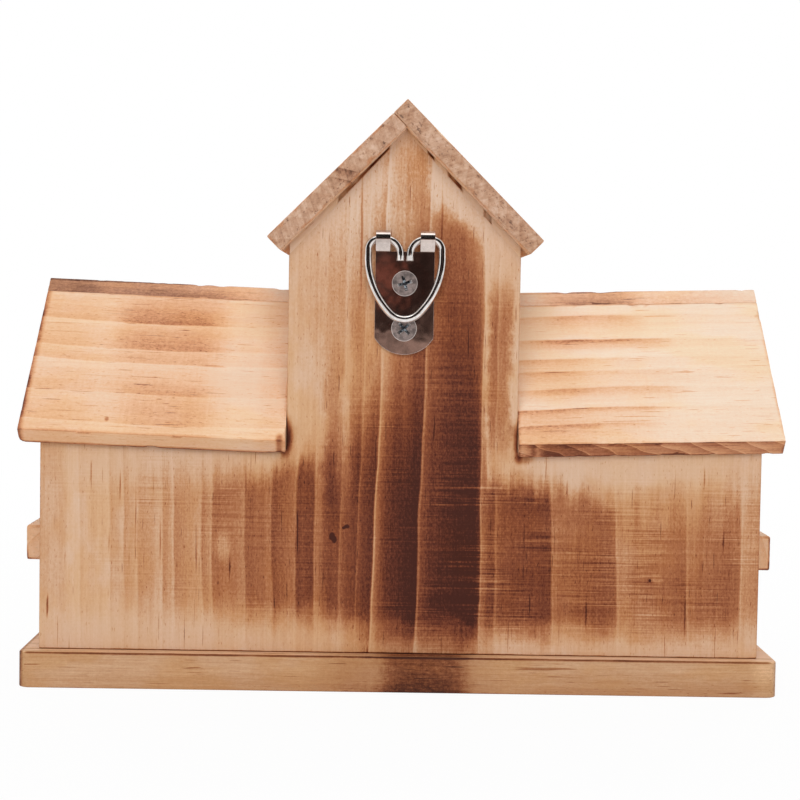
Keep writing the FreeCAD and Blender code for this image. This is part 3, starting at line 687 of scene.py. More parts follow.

# %% [markdown]
# The back board's marks
# Two small knots, a pin mark, a pale scuff and hair cracks are marks of their own. Beside the wing
# roofs the dark marks are partly scorch and partly painted shade, in the gap and under the eaves' inner
# corners, and a dark line along the foot of the wall is painted shade in the crease above the base. Dust
# lies on the gable. Under the eaves and above the base the wood is painted paler, as dust and painted
# light, and the saw's lines are clearest on the wings.

# %% Marks of the back board
MARK_FRAY = 0.6
# Painted shade: the rows at -35.4, 35.4 and 37 across, beside the roofs, are partly scorch, and the line at
# 11 along is the crease above the base. The last two rows are painted light, under the eave and above the
# base.
BACK_MARKS_AND_PAINTED_LIGHT = [
    (-20.8, 46.7, 0.8, 1.1, 0.3, 0.5), (-20.1, 45.7, 0.7, 1.0, 0.3, 0.45),
    (-16.4, 49.7, 0.8, 0.5, 0.4, 0.45), (-17.3, 49.3, 0.5, 0.4, 0.4, 0.4), (76.3, 34.6, 0.4, 0.4, 0.4, 0.7),
    (78.4, 34.6, 1.8, 0.8, 0.6, -0.16), (-54, 43, 2.2, 4, 0.6, -0.16), (-107, 24, 0.3, 3, 0.6, 0.5),
    (-35.4, 77, 2.0, 5.5, 0.5, 0.65), (35.4, 76.5, 1.4, 6, 0.5, 0.6), (37, 71, 3, 1.4, 0.6, 0.3),
    (-13.2, 138, 0.3, 17, 0.5, 0.22), (11, 136, 0.3, 15, 0.5, 0.2), (0, 11, 0, 0.3, 0.6, 0.5),
    (70, 68.5, 34, 5, 0.7, -0.03), (72, 13, 44, 3, 0.7, -0.02),
]
BACK_CRACKS = [
    (-88.5, 44, 3, 0.35), (-85.2, 61, 4, 0.5), (-80.5, 50, 12, 0.2), (-72.9, 44.5, 5, 0.35),
    (-51.7, 36.5, 3.2, 0.45), (50.4, 62, 2.5, 0.4), (57, 24, 4, 0.4), (87.2, 24, 6, 0.4),
    (92.2, 66, 3, 0.4), (98.4, 47, 3, 0.4),
]
CRACK_WIDTH, CRACK_SOFTNESS, CRACK_STRENGTH = 0.2, 0.7, 0.7
# Dust on the gable; the bands under the eaves and above the base are dust and painted light.
BACK_DUST_AND_PAINTED_LIGHT = [
    (0, 146, 34, 24, 0.6, 0.9), (75, 69, 32, 5, 0.7, 0.3), (-75, 16, 34, 7, 0.7, 0.3),
    (78, 13.5, 26, 3, 0.6, 0.3), (-78, 67, 26, 7, 0.7, 0.35),
]
BACK_SAWN = [
    (90, 46, 28, 32, 0.5, 2.6), (40, 40, 26, 26, 0.6, 1.6), (10, 60, 30, 60, 0.6, 1.0),
    (-80, 66, 24, 9, 0.6, 2.0), (-66, 45, 30, 25, 0.6, 1.5),
]


def back_marks_and_painted_light(mix, place, normal):
    cracks = [(across, along, CRACK_WIDTH, half_length, CRACK_SOFTNESS, CRACK_STRENGTH * depth)
              for across, along, half_length, depth in BACK_CRACKS]
    return patches(mix, frayed(mix, place, MARK_FRAY), BACK_MARKS_AND_PAINTED_LIGHT + cracks, boxy=False)


BACK_AXES = board_axes((-1, 0, 0), (0, 0, 1))
back_pine = pine("back_board_pine", BACK_AXES, back_rings, back_burn, back_marks_and_painted_light,
                 sawn=loose_patches(BACK_SAWN, fray=0), dust_and_painted_light=loose_patches(BACK_DUST_AND_PAINTED_LIGHT, WALL_FRAY, boxy=False),
                 raw=0.05, ring_depth=0.1, burn_by_ring=1, corner=0.12, cracks=0.3, mottle=0.65, grit=0.24,
                 kerf=0.12)

# %% [markdown]
# From solids to shown pieces
# No real board has knife-sharp corners: sandpaper eases them and the flame browns them. A bevel on a copy
# of the solid gives a narrow rounding, and its points carry a wear value for the finish. The pins were
# driven flush and browned with the board, so they wear its finish.

# %% Easing the back board's corners
SHARP_TURN = math.radians(32)
MERGE_DISTANCE = 0.002 * MM
FLAT_TURN = math.radians(1)
WALL_EASE = 0.35 * MM


def merged_solid(node):
    """A copy of a solid whose loose triangles are merged into whole faces."""
    bm = bmesh.new()
    bm.from_mesh(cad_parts[node].data)
    bmesh.ops.remove_doubles(bm, verts=bm.verts[:], dist=MERGE_DISTANCE)
    bmesh.ops.dissolve_limit(bm, angle_limit=FLAT_TURN, verts=bm.verts[:], edges=bm.edges[:])
    return bm


def round_edges(bm, edges, width, segments):
    return bmesh.ops.bevel(bm, geom=edges, offset=width, offset_type="OFFSET", segments=segments,
                           profile=0.5, affect="EDGES", clamp_overlap=True, material=-1)


def ease_corners(bm, width, segments=2):
    """Rounds every sharp edge and marks the middle of the rounding as worn."""
    wear_and_shade_layer = bm.verts.layers.float.new(WEAR_AND_SHADE)
    sharp = [edge for edge in bm.edges if edge.is_manifold and edge.calc_face_angle() > SHARP_TURN]
    made = round_edges(bm, sharp, width, segments)
    rounding = set(made["faces"])
    for vert in made["verts"]:
        if vert.is_valid and all(face in rounding for face in vert.link_faces):
            vert[wear_and_shade_layer] = 1.0


def finish_piece(bm, name, material, nodes, body="house"):
    """A shown piece that rides on a body and stands for its solids."""
    piece = mesh_piece(name, bm, material)
    mesh = piece.data
    mesh.polygons.foreach_set("use_smooth", [True] * len(mesh.polygons))
    mesh.set_sharp_from_angle(angle=SHARP_TURN)
    even = piece.modifiers.new("even_shading", "WEIGHTED_NORMAL")
    even.keep_sharp = True
    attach(piece, body)
    if nodes:
        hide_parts(*nodes)
    print("Piece:", name, len(mesh.polygons), "faces")


def eased_piece(node, name, material, width, segments=2, body="house"):
    bm = merged_solid(node)
    ease_corners(bm, width, segments)
    finish_piece(bm, name, material, [node], body)


def dress_node(node, material):
    """Gives a solid that stays as it is its finish."""
    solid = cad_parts[node]
    solid.data.materials.clear()
    solid.data.materials.append(material)


eased_piece("back_board", "scorched_back_board", back_pine, WALL_EASE)
dress_node("back_board_brads", back_pine)

# %% [markdown]
# The front
# The front isn't in the picture. It is the same pine, with a round entrance for each room, browned the same
# way: strongest in the middle and round the entrances, where the flame lingers.

# %% Front board
FRONT_STRENGTH = [
    (-112, 0.2), (-96, 0.26), (-60, 0.5), (-38, 0.44), (-30, 0.6), (-12, 0.8), (14, 0.76), (32, 0.56),
    (40, 0.4), (66, 0.52), (92, 0.42), (112, 0.22),
]
FRONT_TOP = [(-112, 70), (-36, 66), (-34, 104), (0, 136), (34, 110), (36, 66), (112, 72)]
FRONT_SOFTNESS = [(-112, 12), (-36, 6), (-34, 26), (34, 26), (36, 6), (112, 12)]
FRONT_FOOT = [(-112, 22), (-30, 17), (40, 16), (112, 21)]
FRONT_SAWN = [(-80, 46, 26, 30, 0.5, 2.4), (0, 60, 40, 60, 0.6, 1.2), (84, 46, 26, 30, 0.5, 1.6)]
FRONT_ENTRANCES = [(-72, 55), (0, 55), (72, 55), (0, 122)]
FRONT_EASE = 0.4 * MM
ENTRANCE_RADIUS = 12.5
RIM_INSIDE, RIM_OUTSIDE = ENTRANCE_RADIUS - 1, ENTRANCE_RADIUS + 6
RIM_FRAY, RIM_STRENGTH = 2.0, 0.45


def rims(entrances):
    """The browned edge of each round entrance."""
    def extra(mix, place, normal):
        loose = frayed(mix, place, RIM_FRAY)
        total = 0.0
        for across, along in entrances:
            away = mix.vector("MULTIPLY_ADD", loose, (1, 0, 1), (-across, 0, -along))
            radius = mix.vector("LENGTH", away, output=1)
            total = mix.sum("ADD", mix.fade(radius, RIM_OUTSIDE, RIM_INSIDE, 0.0, RIM_STRENGTH), total)
        return total
    return extra


def front_bend(mix, place):
    return mix.sway(mix.noise(place, (0.05, 0.05, 0.03), detail=2.5), 3.0, 0.0)


FRONT_AXES = board_axes((1, 0, 0), (0, 0, 1))
front_burn = drawn_burn(FRONT_STRENGTH, FRONT_TOP, FRONT_SOFTNESS, FRONT_FOOT, front_bend)
front_pine = pine("front_board_pine", FRONT_AXES, grown_rings((8, 46), 7.5, wander=3), front_burn,
                  rims(FRONT_ENTRANCES), loose_patches(FRONT_SAWN, fray=0), raw=0.06, ring_depth=0.12,
                  burn_by_ring=0.45, cracks=0.3, grit=0.26, kerf=0.12, seed=3)
eased_piece("front_board", "scorched_front_board", front_pine, FRONT_EASE)
dress_node("front_board_brads", front_pine)

# %% [markdown]
# End walls and the inside
# Each end wall has an entrance above the ledge that shows in the picture. The inner walls and the loft
# floor are only seen through the entrances, so they keep their plain shape and wear clean pine.

# %% End walls, tower walls and loft floor
END_AXES = board_axes((0, 1, 0), (0, 0, 1))
END_PASSES = [(-4, 32, 26, 18, 0.7, 0.34), (10, 62, 20, 16, 0.8, 0.2)]
END_ENTRANCES = [(0, 61)]
side_pine = pine("end_wall_pine", END_AXES, grown_rings((-20, 70), 6), loose_patches(END_PASSES),
                 rims(END_ENTRANCES), seed=5)
inner_pine = pine("inner_pine", END_AXES, grown_rings((15, 10), 5), raw=0.2, seed=7)
for wing in ("left", "right"):
    eased_piece(f"{wing}_end_wall", f"{wing}_scorched_end_wall", side_pine, WALL_EASE)
    dress_node(f"{wing}_tower_wall", inner_pine)
dress_node("loft_floor", inner_pine)

# %% [markdown]
# Measuring the wing roofs
# The wing roofs are thin boards with the grain along the ridge. They droop towards the tower, so their turn
# is read from the solids' corners, and places on them are measured from the middle of the upper edge.

# %% Where the roof boards lie
DROOP = math.radians(1.72)
SLOPE = math.radians(45)
SIDES = (("left", -1), ("right", 1))


def wing_axes(sign, back):
    """Axes of a roof panel: sign is +1 on the right wing, back is +1 behind the ridge and -1 before it."""
    down_slope = Vector((0, back * math.cos(SLOPE), -math.sin(SLOPE)))
    return board_axes(down_slope, (math.cos(DROOP), 0, sign * math.sin(DROOP)))


def box_frame(node, axes):
    """Place and size of a straight board, read from its solid's corners."""
    bm = merged_solid(node)
    bm.verts.ensure_lookup_table()
    middle = sum((vert.co for vert in bm.verts), Vector()) / len(bm.verts)
    ways = [edge.other_vert(bm.verts[0]).co - bm.verts[0].co for edge in bm.verts[0].link_edges]
    ordered = [max(ways, key=lambda way: abs(way.normalized().dot(axis))) for axis in axes]
    turned = [way.normalized() * (1 if way.dot(axis) > 0 else -1) for way, axis in zip(ordered, axes)]
    place = Matrix.Translation(middle) @ Matrix(turned).transposed().to_4x4()
    bm.free()
    return place, Vector([way.length for way in ordered])


def ridge_middle(node, axes):
    """Middle of a panel's upper edge."""
    place, size = box_frame(node, axes)
    return place @ Vector((-size.x / 2, size.y / 2, 0))


def roof_pine(name, node, axes, rings, passes, extra, **changes):
    return pine(name, axes, rings, loose_patches(passes), extra, origin=ridge_middle(node, axes), **changes)


for wing, sign in SIDES:
    size = box_frame(f"{wing}_wing_roof_back", wing_axes(sign, 1))[1]
    print(f"The {wing} roof board:", [round(length / MM, 1) for length in size], "mm")

# %% [markdown]
# The edges of the wing roofs
# On narrow faces the flame leaves its own mark, so those are burnt face by face. The lower edges differ:
# one stayed tan, the other went dark, with the pale slanting lines of the rings.

# %% Burning narrow faces
EDGE_FRAY = 2.0
RING_SLANT = -1.7
RINGS_PER_MM = 0.11


def facing(mix, normal, direction):
    """1 on faces that look in a direction and 0 on all others."""
    return mix.fade(mix.vector("DOT_PRODUCT", normal, tuple(direction), output=1), 0.5, 0.85)


def burnt_face(direction, passes, ring_lines=0.0):
    """A narrow face with its own burn, and pale slanting ring lines if it has any."""
    def extra(mix, place, normal):
        burn = patches(mix, frayed(mix, place, EDGE_FRAY), passes)
        streak = mix.noise(place, (0.4, 0.4, 0.03), detail=4, roughness=0.6)
        burn = mix.times(burn, mix.sway(streak, 0.8, 1.0))
        if ring_lines:
            slant = mix.plus(mix.part(place, 1), RING_SLANT, mix.part(place, 2))
            uneven = mix.noise(place, (0.1, 0.1, 0.06), detail=2)
            turn = mix.sum("FRACT", mix.sway(uneven, 1.3, mix.times(slant, RINGS_PER_MM)))
            pale = mix.fade(turn, 0.12, 0.0, 0.0, ring_lines)
            burn = mix.sum("SUBTRACT", burn, mix.plus(turn, 0.18, pale))
        return mix.times(burn, facing(mix, normal, direction))
    return extra


print("Ring lines on a burnt edge:", round(1 / RINGS_PER_MM, 1), "mm apart")

# %% [markdown]
# The faces of the wing roofs
# The faces were only kissed by the flame. On the right wing the rings sag, and the board has a dent, some
# pits and a scorched outer end; on the left wing only thin bands took the flame. Each front panel laps over
# the back one, where its edge shows as a browned strip.

# %% Finishes of the wing roofs
ROOF_STOPS = [
    (0, (243, 222, 200)), (0.2, (239, 204, 174)), (0.4, (231, 184, 147)), (0.6, (216, 158, 117)),
    (0.8, (174, 111, 79)), (1, (108, 60, 44)),
]
RIDGE_STOPS = [
    (0, (243, 220, 198)), (0.2, (239, 200, 170)), (0.4, (227, 178, 144)), (0.6, (199, 147, 116)),
    (0.8, (156, 111, 89)), (1, (98, 62, 50)),
]
HALF_ROOF = 39
RIGHT_RINGS = [(11.3, 0.8), (22.8, 0.8), (28.6, 0.7), (41.7, 0.8), (53.7, 0.6), (66, 0.6)]
RIGHT_PASSES = [
    (12, -2, 13, 15, 0.45, 0.24), (26, -2, 26, 14, 0.45, 0.25), (30, 36, 40, 16, 0.8, 0.2),
    (50, -6, 8, 12, 0.7, 0.16), (30, -39, 40, 5, 0.8, 0.12),
]
RIGHT_MARKS = [
    (53.5, 13.4, 0.8, 0.6, 0.6, 0.45), (44.5, -1.5, 0.2, 0.9, 0.6, 0.3), (46.2, -4, 0.2, 0.8, 0.6, 0.25),
    (43.8, -5.8, 0.25, 0.4, 0.6, 0.3), (0, 39.4, 0, 1.3, 0.6, 0.35), (58.5, -39, 2.2, 1.0, 0.6, 0.45),
]
RIGHT_FRAY = 1.0
RIGHT_EAVE = [(59, 0, 20, 60, 0.3, 0.06)]
UNDER_EAVE, UNDER_EAVE_SIZE = (59, -6, 0), (0.9, 0.9, 0)
LEFT_RINGS = [
    (52, 0.5), (45.6, 0.6), (37.2, 0.9), (29.8, 0.7), (24.6, 0.6), (16.4, 0.9), (5.8, 0.9), (-6, 0.9),
]
LEFT_PASSES = [
    (10, 13, 5, 12, 0.5, 0.42), (18, 12, 2.4, 17, 0.5, 0.5), (26, 20, 1.8, 14, 0.7, 0.16),
    (32, 14, 2.5, 18, 0.7, 0.2), (40, 11, 4, 17, 0.6, 0.42), (48, 21, 3, 19, 0.7, 0.32),
    (55, 23, 4.5, 17, 0.7, 0.22), (25, 38, 40, 14, 0.8, 0.26),
]
LEFT_EAVE = [(59, -3, 20, 39, 0.1, 0.69), (59, 39, 20, 3, 0.3, 0.4)]
FRONT_PASSES = [(26, 0, 30, 24, 0.7, 0.3)]
RIDGE_STRIPS = {
    "left": [(0, 14, 20, 10, 0.8, 0.32)], "right": [(0, 18, 20, 32, 0.7, 0.46), (0, 36, 20, 10, 0.7, 0.22)],
}


def sag(depth, wave):
    """Rings that hang lower in the middle of a roof board than at its ends."""
    def bend(mix, place):
        share = mix.sum("DIVIDE", mix.part(place, 2), HALF_ROOF)
        hang = mix.plus(mix.times(share, share), depth, -depth)
        return mix.sway(mix.noise(place, (0.04, 0.04, 0.035), detail=2), wave, hang)
    return bend


def right_roof_extra(mix, place, normal):
    eave = burnt_face(wing_axes(1, 1)[0], RIGHT_EAVE)(mix, place, normal)
    loose = frayed(mix, place, RIGHT_FRAY)
    under = mix.spot(loose, UNDER_EAVE, UNDER_EAVE_SIZE, 0.5, 0.4, boxy=False)
    marks = patches(mix, loose, RIGHT_MARKS, boxy=False)
    return mix.sum("ADD", eave, mix.sum("ADD", under, marks))


roof_pines = {}
axes = wing_axes(1, 1)
roof_pines["right", "back"] = roof_pine(
    "right_wing_roof_pine", "right_wing_roof_back", axes,
    drawn_rings(-3, RIGHT_RINGS, (1, 0.6), sag(1.3, 1.6)),
    RIGHT_PASSES, right_roof_extra, stops=ROOF_STOPS, burn_by_ring=0.75, raw=0.06, corner=0.35,
    cracks=0.25, chalk=0.2, seed=2)
axes = wing_axes(-1, 1)
roof_pines["left", "back"] = roof_pine(
    "left_wing_roof_pine", "left_wing_roof_back", axes,
    drawn_rings(66, LEFT_RINGS, (2.5, 1), sag(-0.8, 2.0)),
    LEFT_PASSES, burnt_face(axes[0], LEFT_EAVE, ring_lines=0.3), stops=ROOF_STOPS, burn_by_ring=0.95,
    ring_depth=0.08, raw=0.04, corner=0.4, cracks=0.3, chalk=0.1, seed=4)
for wing, sign in SIDES:
    axes = wing_axes(sign, -1)
    roof_pines[wing, "front"] = roof_pine(
        f"{wing}_roof_front_pine", f"{wing}_wing_roof_front", axes, grown_rings((30, -35), 6, wander=2),
        FRONT_PASSES, burnt_face(-axes[0], RIDGE_STRIPS[wing]), stops=RIDGE_STOPS, grit=0.5, raw=0.04,
        corner=0.05, chalk=0.2, seed=6 + sign)

# %% [markdown]
# Boards with worn corners
# The saw chipped the edges of the roof boards, so an even bevel would look too new. Each board is a fine
# grid instead, and each point near a corner is pulled in by an uneven amount, which leaves nicks.

# %% Wearing a board
NICKS_START = 0.2
RIPPLE, RIPPLE_SCALE = 0.25, 0.35
WHOLE_EDGE = 0.9
TOUCHING = 1e-7
END_ZONE = 0.5 * MM
TEAR_SIZE, FINE_TEAR_SIZE, FINE_TEAR = 2.2 * MM, 0.9 * MM, 0.6


def uneven_wear(base, nick, scale, shift):
    """How far a corner is worn at a point: a base amount, with nicks here and there."""
    def wear_at(point):
        bite = noise.noise(point / (scale * MM) + Vector((shift, 2 * shift, 0)))
        ripple = noise.noise(point / (RIPPLE_SCALE * scale * MM) + Vector((0, shift, 9)))
        return (base + nick * max(0.0, bite - NICKS_START) + RIPPLE * base * ripple) * MM
    return wear_at


def worn_board(place, size, pitch, wear_at, torn=0.0):
    """A fine grid in the shape of a board, with worn corners and rough cut ends."""
    bm = bmesh.new()
    bmesh.ops.create_cube(bm, size=1, matrix=Matrix.Diagonal((*size, 1)))
    for axis in range(3):
        way = [edge for edge in bm.edges
               if abs((edge.verts[0].co - edge.verts[1].co)[axis]) > WHOLE_EDGE * size[axis]]
        cuts = max(1, round(size[axis] / pitch[axis]) - 1)
        bmesh.ops.subdivide_edges(bm, edges=way, cuts=cuts, use_grid_fill=True)
    wear_and_shade_layer = bm.verts.layers.float.new(WEAR_AND_SHADE)
    half = size / 2
    for vert in bm.verts:
        radius = wear_at(place @ vert.co)
        flat = [limit - radius for limit in half]
        inner = Vector([max(-limit, min(limit, value)) for value, limit in zip(vert.co, flat)])
        off = vert.co - inner
        if sum(abs(value) > TOUCHING for value in off) > 1:
            vert.co = inner + off.normalized() * radius
            vert[wear_and_shade_layer] = 1.0
        if abs(vert.co.z) > half.z - END_ZONE:
            point = place @ vert.co
            pit = noise.noise(point / TEAR_SIZE) + FINE_TEAR * noise.noise(point / FINE_TEAR_SIZE)
            vert.co.z -= math.copysign(torn * max(0.0, pit), vert.co.z)
    bmesh.ops.transform(bm, matrix=place, verts=bm.verts[:])
    return bm


print("Wear ready")

# %% [markdown]
# Cutting the wing roof boards
# As the boards droop, a square end would leave an open wedge beside the tower. The maker trimmed the inner
# ends to stand close to it, and here each board is stretched by a hair at that end.

# %% Wing roof boards
TOWER_GAP = 0.12 * MM
NEARLY = 0.1 * MM
TOWER_FROM = 0.7
WING_GRID = (1.0 * MM, 0.6 * MM, 1.0 * MM)
tower = merged_solid("back_board")
gable_top = max(vert.co.z for vert in tower.verts)
half_tower = max(abs(vert.co.x) for vert in tower.verts if vert.co.z > TOWER_FROM * gable_top)
shoulder = max(vert.co.z for vert in tower.verts if abs(vert.co.x) > half_tower - NEARLY)
tower.free()
print("Tower:", round(2 * half_tower / MM, 1), "mm wide")


def reach_tower(bm, place, size, sign):
    """Stretches a roof board until the whole of its inner end stands close to the tower."""
    outward = place.to_3x3() @ Vector((0, 0, sign))
    for vert in bm.verts:
        spot = place.inverted() @ vert.co
        share = 0.5 - sign * spot.z / size.z
        end = place @ Vector((spot.x, spot.y, -sign * size.z / 2))
        vert.co -= outward * share * (abs(end.x) - half_tower - TOWER_GAP)


for wing, sign in SIDES:
    for face, back in (("back", 1), ("front", -1)):
        node = f"{wing}_wing_roof_{face}"
        place, size = box_frame(node, wing_axes(sign, back))
        board = worn_board(place, size, WING_GRID, uneven_wear(0.25, 2.0, 4, sign + 3 * back))
        reach_tower(board, place, size, sign)
        finish_piece(board, f"worn_{node}", roof_pines[wing, face], [node])

# %% [markdown]
# The tower roof
# Its two boards have their grain running from front to back, so the camera sees their rough cut ends. The
# saw tore small chips out of them, and one board laps over the other at the ridge.

# %% Tower roof boards
TOWER_GRID = (0.5 * MM, 0.5 * MM, 1.4 * MM)
TOWER_PASS = (26, 0, 30, 30, 0.7, 0.25)
SMUDGES = {"left": (50, 46, 10, 6, 0.8, 0.1), "right": (23, 46, 2.5, 6, 0.6, 0.5)}
TORN = 0.5 * MM
for label, sign in SIDES:
    axes = board_axes((sign * math.cos(SLOPE), 0, -math.sin(SLOPE)), (0, 1, 0))
    node = f"tower_roof_{label}"
    place, size = box_frame(node, axes)
    upper_edge = place @ Vector((-size.x / 2, 0, 0)) - Vector((0, place.translation.y, 0))
    material = pine(f"{node}_pine", axes, grown_rings((90, 40), 3.5, wander=2),
                    loose_patches([TOWER_PASS, SMUDGES[label]]), origin=upper_edge, stops=ROOF_STOPS,
                    raw=0.1, corner=0.35, rust=0.4, end=0.9, chalk=0.2, seed=8 + sign)
    board = worn_board(place, size, TOWER_GRID, uneven_wear(0.45, 2.6, 4, sign), TORN)
    finish_piece(board, f"worn_{node}", material, [node])

# %% [markdown]
# Filler under the tower roof
# The gable doesn't quite meet the roof. The maker closed most of that gap with glue and a sliver of wood,
# and left a few slots open. Each side gets one thin wedge, cut to fit the gap, with its face pressed in
# where a slot is and painted darker there, as the shade inside the slot.

# %% Filler strips
FILLER_FACE = 40.3 * MM
FILLER_LAP = 0.5 * MM
FILLER_DEPTH = 5 * MM
FILLER_INNER, FILLER_OUTER = 0.05 * MM, half_tower - 0.2 * MM
FILLER_CUTS = 90
FILLER_ROUGHNESS, FILLER_LUMPS = 0.15 * MM, 1.5 * MM
SLOT_DEPTH = 1.5 * MM
SLOTS = {"left": [(6.2, 8.4), (12.5, 17), (23.5, 26)], "right": [(5, 20.5)]}

roof = merged_solid("tower_roof_right")
roof_inside = min(roof.verts, key=lambda vert: vert.co.x).co.z
roof.free()
gable_edge = gable_top - FILLER_LAP
gable_slope = (gable_top - shoulder) / half_tower


def slot_share(across, slots):
    """1 in the middle of a slot and 0 outside it, with soft ends."""
    depths = [2 * min(across - start, stop - across) for start, stop in slots]
    return max(0.0, min(1.0, max(depths)))


for label, sign in SIDES:
    strip = bmesh.new()
    wear_and_shade_layer = strip.verts.layers.float.new(WEAR_AND_SHADE)
    corners = [(x, gable_edge - gable_slope * x) for x in (FILLER_INNER, FILLER_OUTER)]
    corners += [(x, roof_inside - x) for x in (FILLER_OUTER, FILLER_INNER)]
    wedge = strip.faces.new([strip.verts.new((sign * x, FILLER_FACE, z)) for x, z in corners])
    made = bmesh.ops.extrude_face_region(strip, geom=[wedge])["geom"]
    inside = [part for part in made if isinstance(part, bmesh.types.BMVert)]
    bmesh.ops.translate(strip, vec=(0, -FILLER_DEPTH, 0), verts=inside)
    lengthwise = [edge for edge in strip.edges
                  if abs(edge.verts[0].co.x - edge.verts[1].co.x) > half_tower / 2]
    bmesh.ops.subdivide_edges(strip, edges=lengthwise, cuts=FILLER_CUTS, use_grid_fill=True)
    bmesh.ops.recalc_face_normals(strip, faces=strip.faces[:])
    for vert in strip.verts:
        if vert.co.y > FILLER_FACE - NEARLY:
            slot = slot_share(abs(vert.co.x) / MM, SLOTS[label])
            # Painted shade: the slot's share darkens the finish there.
            vert[wear_and_shade_layer] = slot
            vert.co.y -= SLOT_DEPTH * slot + FILLER_ROUGHNESS * (1 + noise.noise(vert.co / FILLER_LUMPS))
    axes = board_axes((0, 1, 0), (sign, 0, -1))
    # corner=0.9 sets how dark the painted shade in the slots is.
    material = pine(f"{label}_filler", axes, grown_rings((10, 8), 3), raw=0.02, corner=0.9, seed=13 + sign)
    finish_piece(strip, f"{label}_gable_filler", material, [])

# %% [markdown]
# The ledges
# Under each entrance a short offcut sticks out for the birds to land on. They are small, so their edges
# look quite round, and their cut ends stayed pale.

# %% Ledges
LEDGES = ("left_end", "right_end", "left_front", "right_front", "tower_lower", "tower_upper")
LEDGE_GRID = (0.45 * MM,) * 3
BASE_AXES = board_axes((0, 1, 0), (1, 0, 0))
LEDGE_GRAINS = {"ledge_pine": (BASE_AXES, 9), "end_ledge_pine": (board_axes((1, 0, 0), (0, 1, 0)), 10)}
ledge_pines = {}
for name, (axes, seed) in LEDGE_GRAINS.items():
    ledge_pines[name] = pine(name, axes, grown_rings((60, 20), 4), stops=ROOF_STOPS, raw=0.28, end=0.2,
                             corner=0.6, seed=seed)
for label in LEDGES:
    node = f"{label}_ledge"
    low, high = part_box(node)
    place = Matrix.Translation((low + high) / 2)
    board = worn_board(place, high - low, LEDGE_GRID, uneven_wear(0.7, 0.8, 3, len(node)))
    material = ledge_pines["end_ledge_pine" if "end" in node else "ledge_pine"]
    finish_piece(board, f"worn_{node}", material, [node])

# %% [markdown]
# The base
# Everything stands on one thicker plank with rounded corners. Its wood is yellower than the walls, with a
# burnt patch in the middle of its back edge. Its sharp upper edge caught the flame. Its top is painted
# paler, as lit from above, and a line of painted shade darkens the crease along the wall.

# %% Base board
BASE_STOPS = [
    (0, (228, 188, 156)), (0.15, (201, 161, 125)), (0.3, (185, 140, 102)), (0.5, (169, 119, 82)),
    (0.68, (138, 83, 53)), (0.85, (100, 54, 34)), (1, (70, 37, 26)),
]
BASE_PASSES = [(45, -8, 16, 11, 0.5, 0.5), (45, -2, 20, 20, 0.6, 0.26)]
BASE_MARKS = [(0, 114.8, 0, 1.0, 0.6, 0.45), (0, -112, 0, 4, 0.7, -0.12)]
# Painted light: faces that look up are painted paler.
BASE_TOP_PAINTED_LIGHT = -0.25
BASE_FRAY = 0.5
BASE_EASE = 0.3 * MM
base_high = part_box("base_board")[1]
wall_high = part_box("back_board")[1]
# The scorched upper edge, then painted shade in the crease where the wall stands on the base.
BASE_SCORCH_AND_SHADE_LINES = [(base_high.y, 0.55, 0.7), (wall_high.y, 0.5, 0.45)]


def base_extra(mix, place, normal):
    """Painted light on the top, its scorched edge, painted shade along the wall, and marks at both ends."""
    loose = frayed(mix, place, BASE_FRAY)
    marks = patches(mix, loose, BASE_MARKS, boxy=False)
    total = mix.plus(facing(mix, normal, (0, 0, 1)), BASE_TOP_PAINTED_LIGHT, marks)
    for line, width, strength in BASE_SCORCH_AND_SHADE_LINES:
        middle = (line / MM, base_high.z / MM, 0)
        mark = mix.spot(loose, middle, (width, width, 0), 0.5, strength, boxy=False)
        total = mix.sum("ADD", mark, total)
    return total


base_pine = pine("base_pine", BASE_AXES, grown_rings((-60, 40), 6, wander=5), loose_patches(BASE_PASSES, 5),
                 base_extra, stops=BASE_STOPS, burn_by_ring=0.3, corner=0.4, raw=0.2, ring_depth=0.2,
                 fibres=0.18, cracks=0.35, chalk=0.1, seed=11)
eased_piece("base_board", "worn_base_board", base_pine, BASE_EASE)
dress_node("base_brads", base_pine)

# %% [markdown]
# Plated metal
# Plating is a mirror with fine scratches and a slightly wavy surface. The zinc of the screws is duller, and
# their cross recesses are darkened with grime and painted shade, with painted glints. Rounded rims get a
# painted highlight: faces that lean outwards are painted brighter and less metallic.

# %% Metal finishes
# Colours of grime with painted shade, of painted glints, and of the painted rim highlight.
GRIME_AND_SHADE, PAINTED_GLINT, PAINTED_RIM_HIGHLIGHT = (26, 34, 44), (196, 210, 220), (236, 226, 220)
METAL_DEPTH = 0.02 * MM


